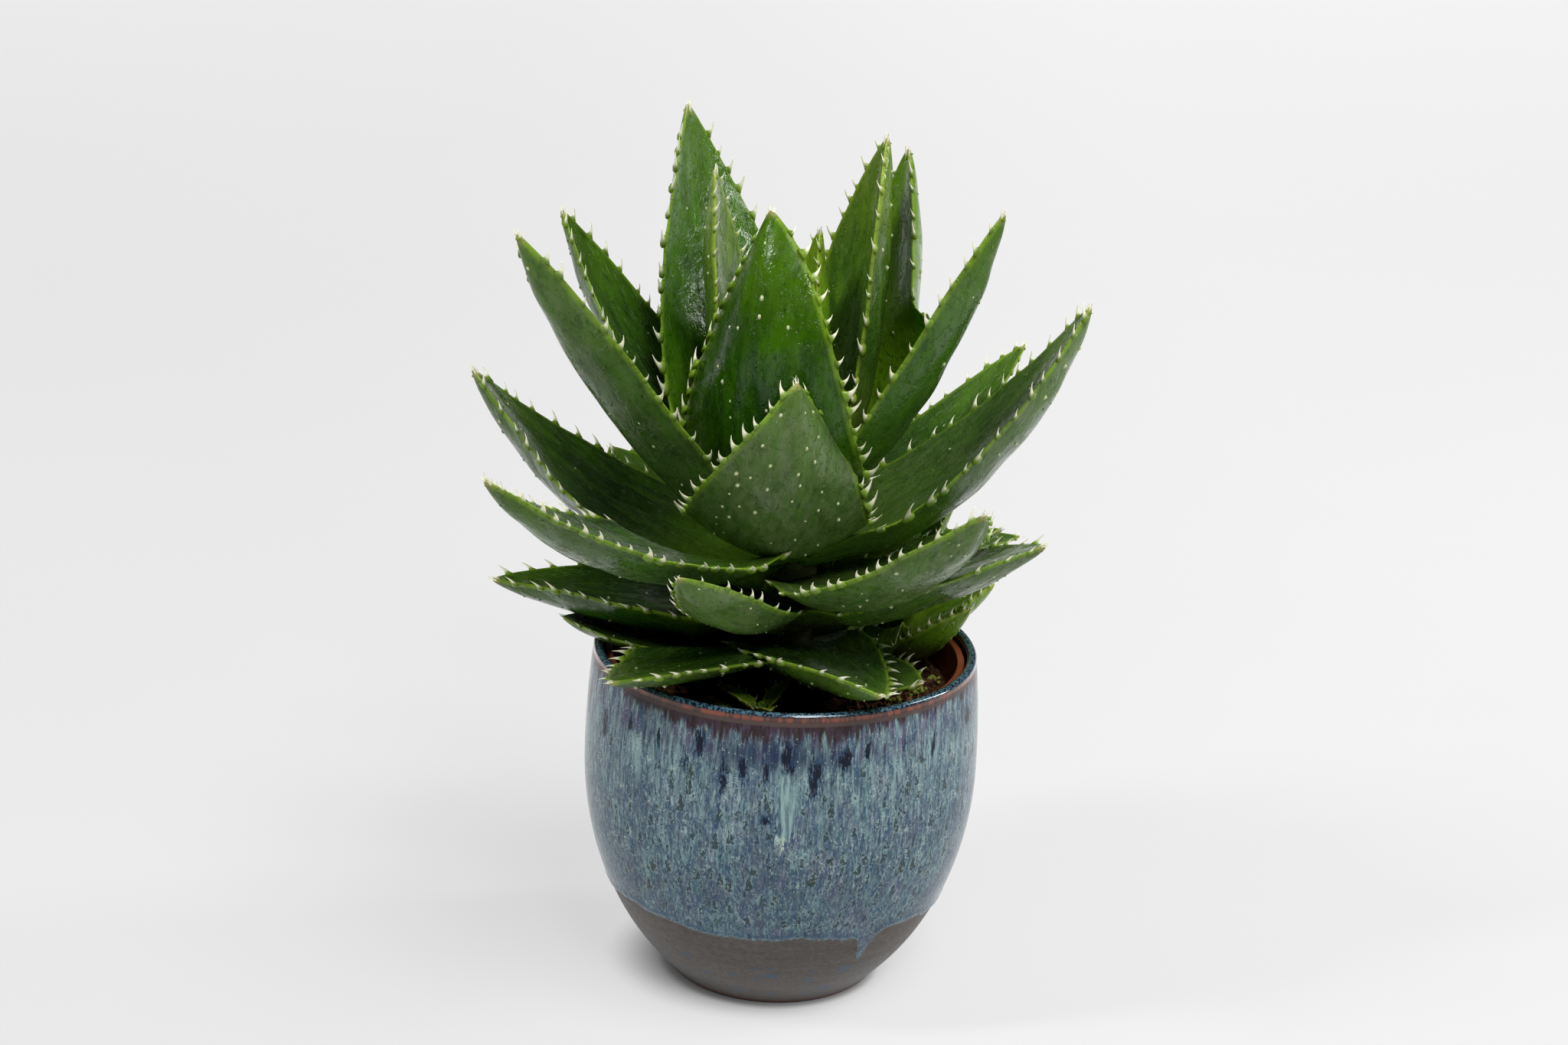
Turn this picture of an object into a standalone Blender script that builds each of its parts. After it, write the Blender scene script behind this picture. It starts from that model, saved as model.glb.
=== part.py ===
# A potted mitre aloe: a spiny rosette with one offset and a seedling shoot, growing in a nursery pot
# that stands inside a glazed cover pot. Metres, +Z up. The origin is the middle of the cover pot's flat
# base, and the side that was photographed faces -Y.

import random
from math import cos, pi, radians, sin, sqrt, tau
from typing import NamedTuple

import bmesh
import bpy
from mathutils import Vector, noise
from mathutils.bvhtree import BVHTree
from mathutils.geometry import tessellate_polygon

# Clearances
GAP = 0.0003  # between neighbouring solids
LEAF_GAP = 0.0005  # how far a leaf's bed stands off the leaf in it
TINY = 1e-5  # lengths below this count as none

# Cover pot: an upright egg-shaped wall that ends in a short upright foot
POT_HEIGHT = 0.1162
POT_BELLY_RADIUS = 0.0659
POT_BELLY_HEIGHT = 0.0768
POT_BELLY_DROP = 0.088  # half height of the ellipse below the belly
POT_BELLY_RISE = 0.150  # half height of the flatter ellipse above it
POT_WALL = 0.0033
POT_FLOOR = 0.0078
POT_FOOT_RADIUS = 0.0368  # of the short upright foot under the egg shape
POT_FOOT_CHAMFER = 0.0008
POT_FLAT_SHARE = 0.8  # of the floor's radius, before it curves up into the wall
POT_SEGMENTS = 36
POT_INNER_STEPS = 8
POT_OUTER_STEPS = 10
POT_LIP_STEPS = 4
POT_CROWDING = 1.15  # over 1, the profile has more points low down, where it curves most

# Nursery pot: a thin tapered plastic pot with a rolled rim band and drain holes
NURSERY_RIM_RADIUS = 0.0598
NURSERY_RIM_HEIGHT = 0.1132
NURSERY_BAND_DEPTH = 0.009
NURSERY_BAND_STEP = 0.0012
NURSERY_BASE_RADIUS = 0.0425
NURSERY_WALL = 0.0013
NURSERY_SEGMENTS = 36
NURSERY_EDGE = 0.0006  # how far its edges are rounded off
NURSERY_BAND_TAPER = 0.0003
DRAIN_HOLES = 5
DRAIN_HOLE_RADIUS = 0.004
DRAIN_RING_RADIUS = 0.026
DRILL_DEPTH = 0.010
DRILL_SIDES = 12
SEAT_HALVINGS = 30  # steps of the search for the height that it stands at

# Soil
SOIL_HEIGHT = 0.1033
SOIL_ROUGHNESS = 0.0016
SOIL_LUMPS = 90  # noise waves a metre
SOIL_GRAINS = 230
SOIL_RINGS = 6
SOIL_SEGMENTS = 30

# Stems
STEM_SIDES = 16
STEM_CROWN_WIDTH = 0.55  # of the stem, at its very top
STEM_CROWN_DEPTH = 0.8  # of the radius, over which the top narrows

# Leaves
LEAF_STATIONS = (0, 0.1, 0.25, 0.44, 0.64, 0.82, 0.95)  # cross sections, as parts of the length
LEAF_COLUMNS = (-1, -0.5, 0, 0.5, 1)  # points across each side of a section
LEAF_RISE_EASE = 0.8  # under 1, a leaf bends up early along its length
LEAF_SWEEP_EASE = 1.5  # over 1, it turns sideways late
LEAF_MARGIN = 0.0004  # half the thickness of the blunt margin
LEAF_THICKNESS = 0.17  # of the width
LEAF_ROOT_THICKNESS = 0.45  # of the full thickness
LEAF_THICKENING = 2.2  # how fast the root reaches the full thickness
LEAF_THINNING = (2.5, 0.7)  # powers that thin it towards the tip
LEAF_UPPER_SHARE = 0.3  # part of the thickness above the centre line
LEAF_UPPER_CAMBER = 2  # power of the upper face's arch across the leaf
LEAF_KEEL_CAMBER = 1.6  # the same for the lower face, a little keeled
LEAF_ROOT_WIDTH = 0.62  # of the full width
LEAF_WIDENING = 0.22  # part of the length over which a root widens
LEAF_TIP_POWER = 0.9  # a little under 1, so that the tip is blunt
LEAF_CLASP = 1.15  # how far a root wraps round its stem, in radians each way
LEAF_CLASP_SLACK = 0.9  # how closely a narrow root follows its stem
LEAF_CLASP_LENGTH = 0.25  # part of the length that is curved round the stem
PATH_STEPS = 60
BED_ROOT = 7  # how much longer than its leaf a bed is at the root, in leaf gaps
BED_TIP = 2  # the same at the tip
FLAT_ANGLE = 3  # degrees between faces that a cut leaf joins into one
SHARP_ANGLE = 35  # degrees between faces that are shaded as an edge
YOUNG_HEIGHT = 0.169  # main leaves rooted above this are still pale

# Thorns along the margins
THORN_LENGTH = 0.0036
THORN_HALF_BASE = 0.0012
THORN_INSET = 0.12  # of the margin's thickness, left on each side of a thorn's root
THORN_LEAN = 0.45  # towards the leaf's tip, of the thorn's length
THORN_SPACING = 0.0106
THORN_LEAF_WIDTH = 0.055  # width of a leaf whose thorns have that length and spacing
THORN_SIZES = (0.85, 1.1)  # smallest and largest, of that length
THORN_STEPS = (0.85, 1.15)  # the same for the spacing
THORN_ROOT_SCALE = 1.1  # of the size and spacing, at the leaf's root
THORN_SIZE_LOSS = 0.4  # of the size, from root to tip
THORN_STEP_LOSS = 0.3  # of the spacing
THORN_START = 0.16  # of the leaf's length
THORN_END = 0.95
THORN_ROOM = 0.1  # part of a margin face left free of thorns at each end
THORN_CLEARANCE = 0.0005
THORN_SEED = 7


class Stem(NamedTuple):
    name: str
    x: float
    y: float
    radius: float
    foot: float  # lower end, buried in the soil
    top: float


MAIN_STEM = Stem("main_stem", 0.0, 0.0, 0.0095, 0.072, 0.1778)
OFFSET_STEM = Stem("offset_stem", 0.035, 0.014, 0.005, 0.087, 0.1218)
SHOOT_STEM = Stem("shoot_stem", -0.007, -0.036, 0.0022, 0.094, 0.1093)
STEMS = [MAIN_STEM, OFFSET_STEM, SHOOT_STEM]


class Leaf(NamedTuple):
    name: str
    bearing: float  # degrees from +X of the root
    height: float  # of the root, above the base of the pot
    rise: float  # degrees above level at the root
    lift: float  # the same at the tip
    length: float
    width: float
    sweep: float = 0  # degrees that the bearing turns by the tip
    fold: float = 30  # half angle of the channel
    roll: float = 0  # degrees that the blade twists by the tip
    fullness: float = 3  # how far up the leaf its width holds
    stem: Stem = MAIN_STEM


class Thorn(NamedTuple):
    gap: int  # between this section and the next
    edge: int  # which margin, by its point on the section
    root: list
    point: Vector


# Youngest first on each stem. An older leaf lies outside the younger ones, and is hollowed
# where they press on it.
LEAVES = [
    Leaf("leaf_01", 45, 0.1748, 95, 90, 0.083, 0.036, sweep=-15, fold=45, roll=-15),
    Leaf("leaf_02", 160, 0.1698, 65, 90, 0.108, 0.044, sweep=10),
    Leaf("leaf_03", 25, 0.1718, 74, 88, 0.117, 0.054, sweep=-10, fold=45),
    Leaf("leaf_04", 125, 0.1678, 42, 86, 0.134, 0.068, sweep=25, fold=20, roll=8),
    Leaf("leaf_05", -110, 0.1648, 32, 122, 0.1165, 0.066, sweep=16, roll=-39),
    Leaf("leaf_06", -15, 0.1678, 49, 72, 0.118, 0.046, sweep=-10),
    Leaf("leaf_07", 35, 0.1618, 52, 96, 0.126, 0.055, sweep=-7, fold=35, roll=-7),
    Leaf("leaf_08", 80, 0.1618, 26, 72, 0.088, 0.052),
    Leaf("leaf_09", 156, 0.1608, 31, 67, 0.122, 0.051, sweep=13, fold=35),
    Leaf("leaf_10", -155, 0.1518, 38, 62, 0.145, 0.048, sweep=10, roll=10),
    Leaf("leaf_11", -100, 0.1548, 10, 90, 0.092, 0.060, sweep=50, fold=24, roll=12),
    Leaf("leaf_12", 5, 0.1498, 16, 68, 0.124, 0.064, sweep=2, roll=-8, fullness=2.7),
    Leaf("leaf_13", 118, 0.1558, 14, 62, 0.110, 0.056),
    Leaf("leaf_14", 46, 0.1488, 12, 43, 0.1135, 0.034, sweep=-10, fullness=2.7),
    Leaf("leaf_15", 160, 0.1398, -3, 58, 0.124, 0.064, sweep=30, fold=22),
    Leaf("leaf_16", -136, 0.1528, -8, 43.5, 0.132, 0.058, fold=25, roll=-4),
    Leaf("leaf_17", 74, 0.1508, 10, 50, 0.092, 0.052),
    Leaf("leaf_18", -52, 0.1408, 0, 53, 0.103, 0.054, fold=18),
    Leaf("leaf_19", 98, 0.1438, 4, 48, 0.102, 0.058),
    Leaf("leaf_20", -6, 0.1403, 9, 29, 0.065, 0.032, sweep=-2, fold=24),
    Leaf("leaf_21", -20, 0.1288, 16, 33, 0.088, 0.055, sweep=-8, fold=20),
    Leaf("leaf_22", 130, 0.1348, -2, 27, 0.096, 0.052),
    Leaf("leaf_23", 50, 0.1328, 1, -3, 0.105, 0.038, sweep=-17, fold=22),
    Leaf("leaf_24", 78, 0.1338, 0, 34, 0.096, 0.052),
    Leaf("leaf_25", -181, 0.1248, 0, 11, 0.090, 0.060, sweep=4, roll=8),
    Leaf("leaf_26", -104, 0.1338, -7, 46, 0.088, 0.027, sweep=-28, roll=32, fullness=4.6),
    Leaf("leaf_27", 104, 0.1258, -4, 22, 0.086, 0.052),
    Leaf("leaf_28", -176, 0.1188, -15, 20, 0.067, 0.044, fold=20),
    Leaf("leaf_29", 136, 0.1208, -2, 12, 0.066, 0.038),
    Leaf("leaf_30", -75, 0.1188, 5, 5, 0.065, 0.050, sweep=30, fold=16, roll=-24),
    Leaf("leaf_31", 75, 0.1148, -2, 14, 0.060, 0.044),
    Leaf("leaf_32", -129, 0.1268, -12, 5, 0.075, 0.054, sweep=-7, fold=8, roll=16),
    Leaf("leaf_33", -43, 0.1118, -8, 22, 0.052, 0.037, sweep=5, fold=18, roll=12),
    Leaf("offset_leaf_1", 10, 0.1178, 85, 63, 0.050, 0.018, fold=45, stem=OFFSET_STEM),
    Leaf("offset_leaf_2", -105, 0.1168, 50, 60, 0.016, 0.014, fold=40, stem=OFFSET_STEM),
    Leaf("offset_leaf_3", 150, 0.1158, 45, 55, 0.017, 0.014, fold=40, stem=OFFSET_STEM),
    Leaf("offset_leaf_4", -6, 0.1138, 28, 48, 0.038, 0.027, fold=38, stem=OFFSET_STEM),
    Leaf("offset_leaf_5", 62, 0.1128, 14, 20, 0.034, 0.022, fold=35, stem=OFFSET_STEM),
    Leaf("offset_leaf_6", -42, 0.1098, 28, 52, 0.039, 0.027, fold=35, stem=OFFSET_STEM),
    Leaf("offset_leaf_7", 115, 0.1088, 18, 45, 0.036, 0.024, fold=30, stem=OFFSET_STEM),
    Leaf("offset_leaf_8", 0, 0.1073, 12, 30, 0.0145, 0.012, fold=30, stem=OFFSET_STEM),
    Leaf("shoot_leaf_1", 35, 0.1073, 50, 35, 0.012, 0.0065, fold=40, stem=SHOOT_STEM),
    Leaf("shoot_leaf_2", 165, 0.1068, 35, 20, 0.014, 0.0065, fold=40, stem=SHOOT_STEM),
    Leaf("shoot_leaf_3", -75, 0.1063, 40, 15, 0.011, 0.0060, fold=40, stem=SHOOT_STEM),
]


def rounded_step(value):
    value = min(max(value, 0.0), 1.0)
    return value * value * (3 - 2 * value)


# Points, tangents and turning angles along a leaf's centre line
def leaf_path(leaf, grow):
    stem = leaf.stem
    bearing = radians(leaf.bearing)
    stand = stem.radius + GAP + LEAF_UPPER_SHARE * leaf_depth(leaf, 0) * max(0.0, sin(radians(leaf.rise)))
    place = Vector((stem.x + stand * cos(bearing), stem.y + stand * sin(bearing), leaf.height))
    path = []
    for step in range(PATH_STEPS + 1):
        along = step / PATH_STEPS
        rise = radians(leaf.rise + (leaf.lift - leaf.rise) * along**LEAF_RISE_EASE)
        turn = bearing + radians(leaf.sweep) * along**LEAF_SWEEP_EASE
        tangent = Vector((cos(rise) * cos(turn), cos(rise) * sin(turn), sin(rise)))
        if path:
            place = place + (tangent + path[-1][1]) / 2 * (leaf.length / PATH_STEPS)
        path.append((place, tangent, rise, turn))
    if grow:
        first, last = path[0], path[-1]
        path[0] = (first[0] - BED_ROOT * grow * first[1], *first[1:])
        path[-1] = (last[0] + BED_TIP * grow * last[1], *last[1:])
    return path


def leaf_depth(leaf, along):
    inner, outer = LEAF_THINNING
    growth = min(1, LEAF_ROOT_THICKNESS + LEAF_THICKENING * along)
    return leaf.width * LEAF_THICKNESS * growth * (1 - along**inner) ** outer


def leaf_half_width(leaf, along):
    taper = (1 - along**leaf.fullness) ** LEAF_TIP_POWER
    root = LEAF_ROOT_WIDTH + (1 - LEAF_ROOT_WIDTH) * rounded_step(along / LEAF_WIDENING)
    return leaf.width / 2 * taper * root


# The frame of one cross section: its place, and its sideways, upward and inward directions
def leaf_frame(leaf, path, along):
    place, _, rise, turn = path[round(along * PATH_STEPS)]
    side = Vector((-sin(turn), cos(turn), 0))
    up = Vector((-sin(rise) * cos(turn), -sin(rise) * sin(turn), cos(rise)))
    roll = radians(leaf.roll) * rounded_step(along)
    side, up = side * cos(roll) + up * sin(roll), up * cos(roll) - side * sin(roll)
    return place, side, up, Vector((-cos(turn), -sin(turn), 0))


# A point on the upper (+1) or lower (-1) face of a leaf, from -1 to 1 across it
def leaf_point(leaf, path, along, across, face, grow=0.0):
    place, side, up, inward = leaf_frame(leaf, path, along)
    half = leaf_half_width(leaf, along) + 2 * grow
    root = 1 - rounded_step(along / LEAF_CLASP_LENGTH)
    clasp = min(half / leaf.stem.radius * LEAF_CLASP_SLACK, LEAF_CLASP)
    curl = radians(leaf.fold) * (1 - root) + clasp * root
    hollow = (up * (1 - root) + inward * root).normalized()
    point = place + side * (half * sin(curl * across) / curl)
    point += hollow * (half * (1 - cos(curl * across)) / curl)
    depth = leaf_depth(leaf, along)
    if face > 0:
        arch = LEAF_UPPER_SHARE * depth * (1 - abs(across) ** LEAF_UPPER_CAMBER)
        return point + up * (LEAF_MARGIN + grow + arch)
    keel = (1 - LEAF_UPPER_SHARE) * depth * (1 - abs(across) ** LEAF_KEEL_CAMBER)
    return point - up * (LEAF_MARGIN + grow + keel)


# The cross sections of a leaf, each a closed loop of points: the upper face, then the lower face back again
def leaf_rings(leaf, grow=0.0):
    path = leaf_path(leaf, grow)
    rings = []
    for along in LEAF_STATIONS:
        upper = [leaf_point(leaf, path, along, across, 1, grow) for across in LEAF_COLUMNS]
        lower = [leaf_point(leaf, path, along, across, -1, grow) for across in reversed(LEAF_COLUMNS)]
        rings.append(upper + lower)
    return rings, path[-1][0]


# The closed body of a leaf, a loft between its sections. The thorns grow out of the two blunt margins.
def leaf_body(leaf, grow=0.0, thorns=()):
    mesh = bmesh.new()
    sections, end = leaf_rings(leaf, grow)
    rings = [[mesh.verts.new(point) for point in section] for section in sections]
    round_trip = 2 * len(LEAF_COLUMNS)
    for gap, (ring, following) in enumerate(zip(rings, rings[1:])):
        for i in range(round_trip):
            j = (i + 1) % round_trip
            corners = (ring[i], following[i], following[j], ring[j])
            growing = [thorn for thorn in thorns if thorn.gap == gap and thorn.edge == i]
            if growing:
                add_thorny_face(mesh, corners, growing)
            else:
                mesh.faces.new(corners)
    for i in range(len(LEAF_COLUMNS) - 1):
        opposite = round_trip - 1 - i
        mesh.faces.new((rings[0][i], rings[0][i + 1], rings[0][opposite - 1], rings[0][opposite]))
    tip = mesh.verts.new(end)
    for i in range(round_trip):
        mesh.faces.new((rings[-1][i], tip, rings[-1][(i + 1) % round_trip]))
    bmesh.ops.recalc_face_normals(mesh, faces=mesh.faces)
    bmesh.ops.triangulate(mesh, faces=mesh.faces, quad_method="FIXED")
    return mesh


# A margin face with a three-sided opening for each thorn, and the thorn over it
def add_thorny_face(mesh, corners, thorns):
    loops = [list(corners)] + [[mesh.verts.new(point) for point in thorn.root] for thorn in thorns]
    flat = [vertex for loop in loops for vertex in loop]
    for corner_numbers in tessellate_polygon([[vertex.co for vertex in loop] for loop in loops]):
        mesh.faces.new([flat[number] for number in corner_numbers])
    for loop, thorn in zip(loops[1:], thorns):
        point = mesh.verts.new(thorn.point)
        for i in range(3):
            mesh.faces.new((loop[i], loop[(i + 1) % 3], point))


# A slim three-sided thorn on one margin, which leans towards the leaf's tip
def make_thorn(rings, gap, edge, share, size):
    following_edge = (edge + 1) % len(rings[0])
    ring, following = rings[gap], rings[gap + 1]
    reach = following[edge] - ring[edge]
    half = THORN_HALF_BASE * size / reach.length
    root = []
    for step, down in ((-half, THORN_INSET), (half, THORN_INSET), (0, 1 - THORN_INSET)):
        above = ring[edge].lerp(following[edge], share + step)
        below = ring[following_edge].lerp(following[following_edge], share + step)
        root.append(above.lerp(below, down))
    middle = (root[0] + root[1] + root[2]) / 3
    outward = reach.cross(ring[following_edge] - ring[edge]).normalized()
    if outward.dot(ring[edge] - ring[len(LEAF_COLUMNS) // 2]) < 0:
        outward.negate()
    point = middle + (outward + reach.normalized() * THORN_LEAN) * THORN_LENGTH * size
    return Thorn(gap, edge, root, point)


# A point is inside a closed body if a straight way out of it crosses the surface an odd number of times
def is_inside(tree, point):
    way_out = Vector((0.31, 0.17, 0.93)).normalized()
    crossings = 0
    place, _, _, _ = tree.ray_cast(point, way_out)
    while place:
        crossings += 1
        place, _, _, _ = tree.ray_cast(place + way_out * TINY, way_out)
    return crossings % 2 == 1


# A thorn stays only where it is clear of every other leaf
def thorn_is_clear(thorn, others):
    middle = (thorn.root[0] + thorn.root[1] + thorn.root[2]) / 3
    samples = [middle.lerp(thorn.point, part) for part in (0, 0.5, 1)]
    return not any(
        tree.find_nearest(sample, THORN_CLEARANCE)[0] or is_inside(tree, sample)
        for tree in others
        for sample in samples
    )


# The thorns of one leaf, down both margins, smaller and closer towards the tip
def leaf_thorns(leaf, others, placed, rng):
    rings, _ = leaf_rings(leaf)
    scale = sqrt(leaf.width / THORN_LEAF_WIDTH)
    thorns = []
    for edge in (len(LEAF_COLUMNS) - 1, 2 * len(LEAF_COLUMNS) - 1):
        travelled = leaf.length * THORN_START + rng.uniform(0, THORN_SPACING * scale)
        while travelled < leaf.length * THORN_END:
            along = travelled / leaf.length
            gap = max(i for i, station in enumerate(LEAF_STATIONS) if station < along)
            share = (along - LEAF_STATIONS[gap]) / (LEAF_STATIONS[gap + 1] - LEAF_STATIONS[gap])
            size = scale * rng.uniform(*THORN_SIZES) * (THORN_ROOT_SCALE - THORN_SIZE_LOSS * along)
            thorn = make_thorn(rings, gap, edge, share, size)
            apart = all((thorn.point - other).length > 2 * THORN_HALF_BASE for other in placed)
            if THORN_ROOM < share < 1 - THORN_ROOM and apart and thorn_is_clear(thorn, others):
                thorns.append(thorn)
                placed.append(thorn.point)
            step = THORN_SPACING * scale * (THORN_ROOT_SCALE - THORN_STEP_LOSS * along)
            travelled += step * rng.uniform(*THORN_STEPS)
    return thorns


def new_object(name, mesh, collection, material=None):
    data = bpy.data.meshes.new(name)
    mesh.to_mesh(data)
    mesh.free()
    obj = bpy.data.objects.new(name, data)
    collection.objects.link(obj)
    if material:
        data.materials.append(material)
    return obj


# Gives the object the mesh that its modifiers make
def apply_modifiers(obj):
    graph = bpy.context.evaluated_depsgraph_get()
    data = bpy.data.meshes.new_from_object(obj.evaluated_get(graph))
    obj.modifiers.clear()
    old = obj.data
    obj.data = data
    bpy.data.meshes.remove(old)


# Cuts each cutter's shape out of the object, then clears the cutters away
def cut_away(obj, cutters):
    for cutter in cutters:
        cutter.hide_render = True
        cutter.display_type = "WIRE"
        cut = obj.modifiers.new(cutter.name, "BOOLEAN")
        cut.operation = "DIFFERENCE"
        cut.solver = "EXACT"
        cut.object = cutter
    apply_modifiers(obj)
    for cutter in cutters:
        bpy.data.meshes.remove(cutter.data)


def shade(obj):
    obj.data.shade_smooth()
    obj.data.set_sharp_from_angle(angle=radians(SHARP_ANGLE))


def volume_of(faces):
    return sum(
        face.verts[0].co.dot(face.verts[i].co.cross(face.verts[i + 1].co)) / 6
        for face in faces
        for i in range(1, len(face.verts) - 1)
    )


# Where a cut leaves slivers of a leaf beside it, only the leaf itself is kept
def keep_largest_body(obj):
    mesh = bmesh.new()
    mesh.from_mesh(obj.data)
    bmesh.ops.dissolve_degenerate(mesh, dist=TINY, edges=mesh.edges)
    bmesh.ops.triangulate(mesh, faces=mesh.faces)
    bodies = []
    waiting = set(mesh.faces)
    while waiting:
        body = set()
        reach = [waiting.pop()]
        while reach:
            face = reach.pop()
            body.add(face)
            for edge in face.edges:
                fresh = [other for other in edge.link_faces if other in waiting]
                waiting.difference_update(fresh)
                reach.extend(fresh)
        bodies.append(body)
    largest = max(bodies, key=volume_of)
    spare = [face for body in bodies if body is not largest for face in body]
    bmesh.ops.delete(mesh, geom=spare, context="FACES")
    bmesh.ops.dissolve_limit(mesh, angle_limit=radians(FLAT_ANGLE), verts=mesh.verts, edges=mesh.edges)
    bmesh.ops.triangulate(mesh, faces=mesh.faces)
    mesh.to_mesh(obj.data)
    mesh.free()


def tree_of(mesh):
    tree = BVHTree.FromBMesh(mesh)
    mesh.free()
    return tree


def upright_cylinder(radius, depth, sides, middle):
    mesh = bmesh.new()
    bmesh.ops.create_cone(mesh, cap_ends=True, segments=sides, radius1=radius, radius2=radius, depth=depth)
    bmesh.ops.translate(mesh, vec=Vector(middle), verts=mesh.verts)
    bmesh.ops.triangulate(mesh, faces=mesh.faces)
    return mesh


# The room that a stem takes, which a leaf's root and the soil leave free
def stem_bed(stem):
    middle = (stem.x, stem.y, (stem.top + stem.foot) / 2)
    return upright_cylinder(stem.radius + GAP, stem.top - stem.foot + 2 * GAP, STEM_SIDES, middle)


# The beds of the younger leaves and the stems that a leaf touches
def bed_cutters(leaf, thorns, younger, trees, cutters):
    whole = tree_of(leaf_body(leaf, thorns=thorns))
    touching = [other for other in younger if whole.overlap(trees[other.name])]
    beds = [(other.name, leaf_body(other, LEAF_GAP)) for other in touching]
    beds += [(stem.name, stem_bed(stem)) for stem in STEMS if whole.overlap(trees[stem.name])]
    return [new_object(f"bed_{name}", bed, cutters) for name, bed in beds]


# Every leaf with its thorns. Each older leaf is hollowed by the beds of the younger ones that touch it.
def make_leaves(parts, cutters, materials):
    rng = random.Random(THORN_SEED)
    bodies = {leaf.name: tree_of(leaf_body(leaf)) for leaf in LEAVES}
    beds = {leaf.name: tree_of(leaf_body(leaf, LEAF_GAP)) for leaf in LEAVES}
    beds.update({stem.name: tree_of(stem_bed(stem)) for stem in STEMS})
    placed = []
    for count, leaf in enumerate(LEAVES):
        others = [tree for name, tree in bodies.items() if name != leaf.name]
        thorns = leaf_thorns(leaf, others, placed, rng)
        obj = new_object(leaf.name, leaf_body(leaf, thorns=thorns), parts, materials[leaf_colour(leaf)])
        tools = bed_cutters(leaf, thorns, LEAVES[:count], beds, cutters)
        if tools:
            cut_away(obj, tools)
            keep_largest_body(obj)
        shade(obj)


def leaf_colour(leaf):
    if leaf.stem != MAIN_STEM or leaf.height > YOUNG_HEIGHT:
        return "young_leaf"
    return "leaf"


def make_material(name, colour, roughness, metallic=0.0):
    material = bpy.data.materials.new(name)
    material.use_nodes = True
    surface = material.node_tree.nodes["Principled BSDF"]
    surface.inputs["Base Color"].default_value = (*colour, 1)
    surface.inputs["Roughness"].default_value = roughness
    surface.inputs["Metallic"].default_value = metallic
    return material


# A turned solid: the profile runs from the axis up the inside, over the top and down the outside
def turned(name, profile, segments, parts, material):
    data = bpy.data.meshes.new(name)
    points = [(radius, 0, height) for radius, height in profile]
    data.from_pydata(points, [(i, i + 1) for i in range(len(points) - 1)], [])
    data.materials.append(material)
    obj = bpy.data.objects.new(name, data)
    parts.objects.link(obj)
    turn = obj.modifiers.new("turn", "SCREW")
    turn.steps = turn.render_steps = segments
    turn.use_merge_vertices = True
    turn.merge_threshold = 0.00001
    turn.use_smooth_shade = True
    return obj


def pot_radius(height):
    reach = POT_BELLY_DROP if height < POT_BELLY_HEIGHT else POT_BELLY_RISE
    egg = POT_BELLY_RADIUS * sqrt(1 - ((height - POT_BELLY_HEIGHT) / reach) ** 2)
    return max(egg, POT_FOOT_RADIUS)


# The inner face, one wall thickness in from the outer face and square to it
def pot_inner_point(height):
    slope = (pot_radius(height + TINY) - pot_radius(height - TINY)) / (2 * TINY)
    square = sqrt(1 + slope * slope)
    return pot_radius(height) - POT_WALL / square, height + POT_WALL * slope / square


# Where the nursery pot's base comes to rest on the curved inner face
def seat_height():
    low, high = POT_FLOOR, POT_BELLY_HEIGHT
    for _ in range(SEAT_HALVINGS):
        middle = (low + high) / 2
        radius, height = pot_inner_point(middle)
        if radius > NURSERY_BASE_RADIUS + GAP:
            high = middle
        else:
            low = middle
    return pot_inner_point(low)[1]


def make_cover_pot(parts, material):
    lip = POT_WALL / 2
    top = POT_HEIGHT - lip
    floor = POT_FLOOR + POT_WALL
    climb = [(i / POT_INNER_STEPS) ** POT_CROWDING for i in range(POT_INNER_STEPS)]
    inner = [pot_inner_point(floor + (top - floor) * share) for share in climb]
    edge = pot_radius(top) - lip
    turns = [pi * i / POT_LIP_STEPS for i in range(POT_LIP_STEPS + 1)]
    arc = [(edge - lip * cos(turn), top + lip * sin(turn)) for turn in turns]
    descent = [(1 - i / POT_OUTER_STEPS) ** POT_CROWDING for i in range(1, POT_OUTER_STEPS)]
    outer = [(pot_radius(top * share), top * share) for share in descent]
    foot = [(pot_radius(0) + POT_FOOT_CHAMFER / 2, POT_FOOT_CHAMFER), (pot_radius(0) - POT_FOOT_CHAMFER, 0)]
    bottom = [(0, POT_FLOOR), (inner[0][0] * POT_FLAT_SHARE, POT_FLOOR)]
    turned("cover_pot", [*bottom, *inner, *arc, *outer, *foot, (0, 0)], POT_SEGMENTS, parts, material)


def nursery_radius(height):
    base = seat_height()
    share = (height - base) / (NURSERY_RIM_HEIGHT - base)
    return NURSERY_BASE_RADIUS + (NURSERY_RIM_RADIUS - NURSERY_BAND_STEP - NURSERY_BASE_RADIUS) * share


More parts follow.
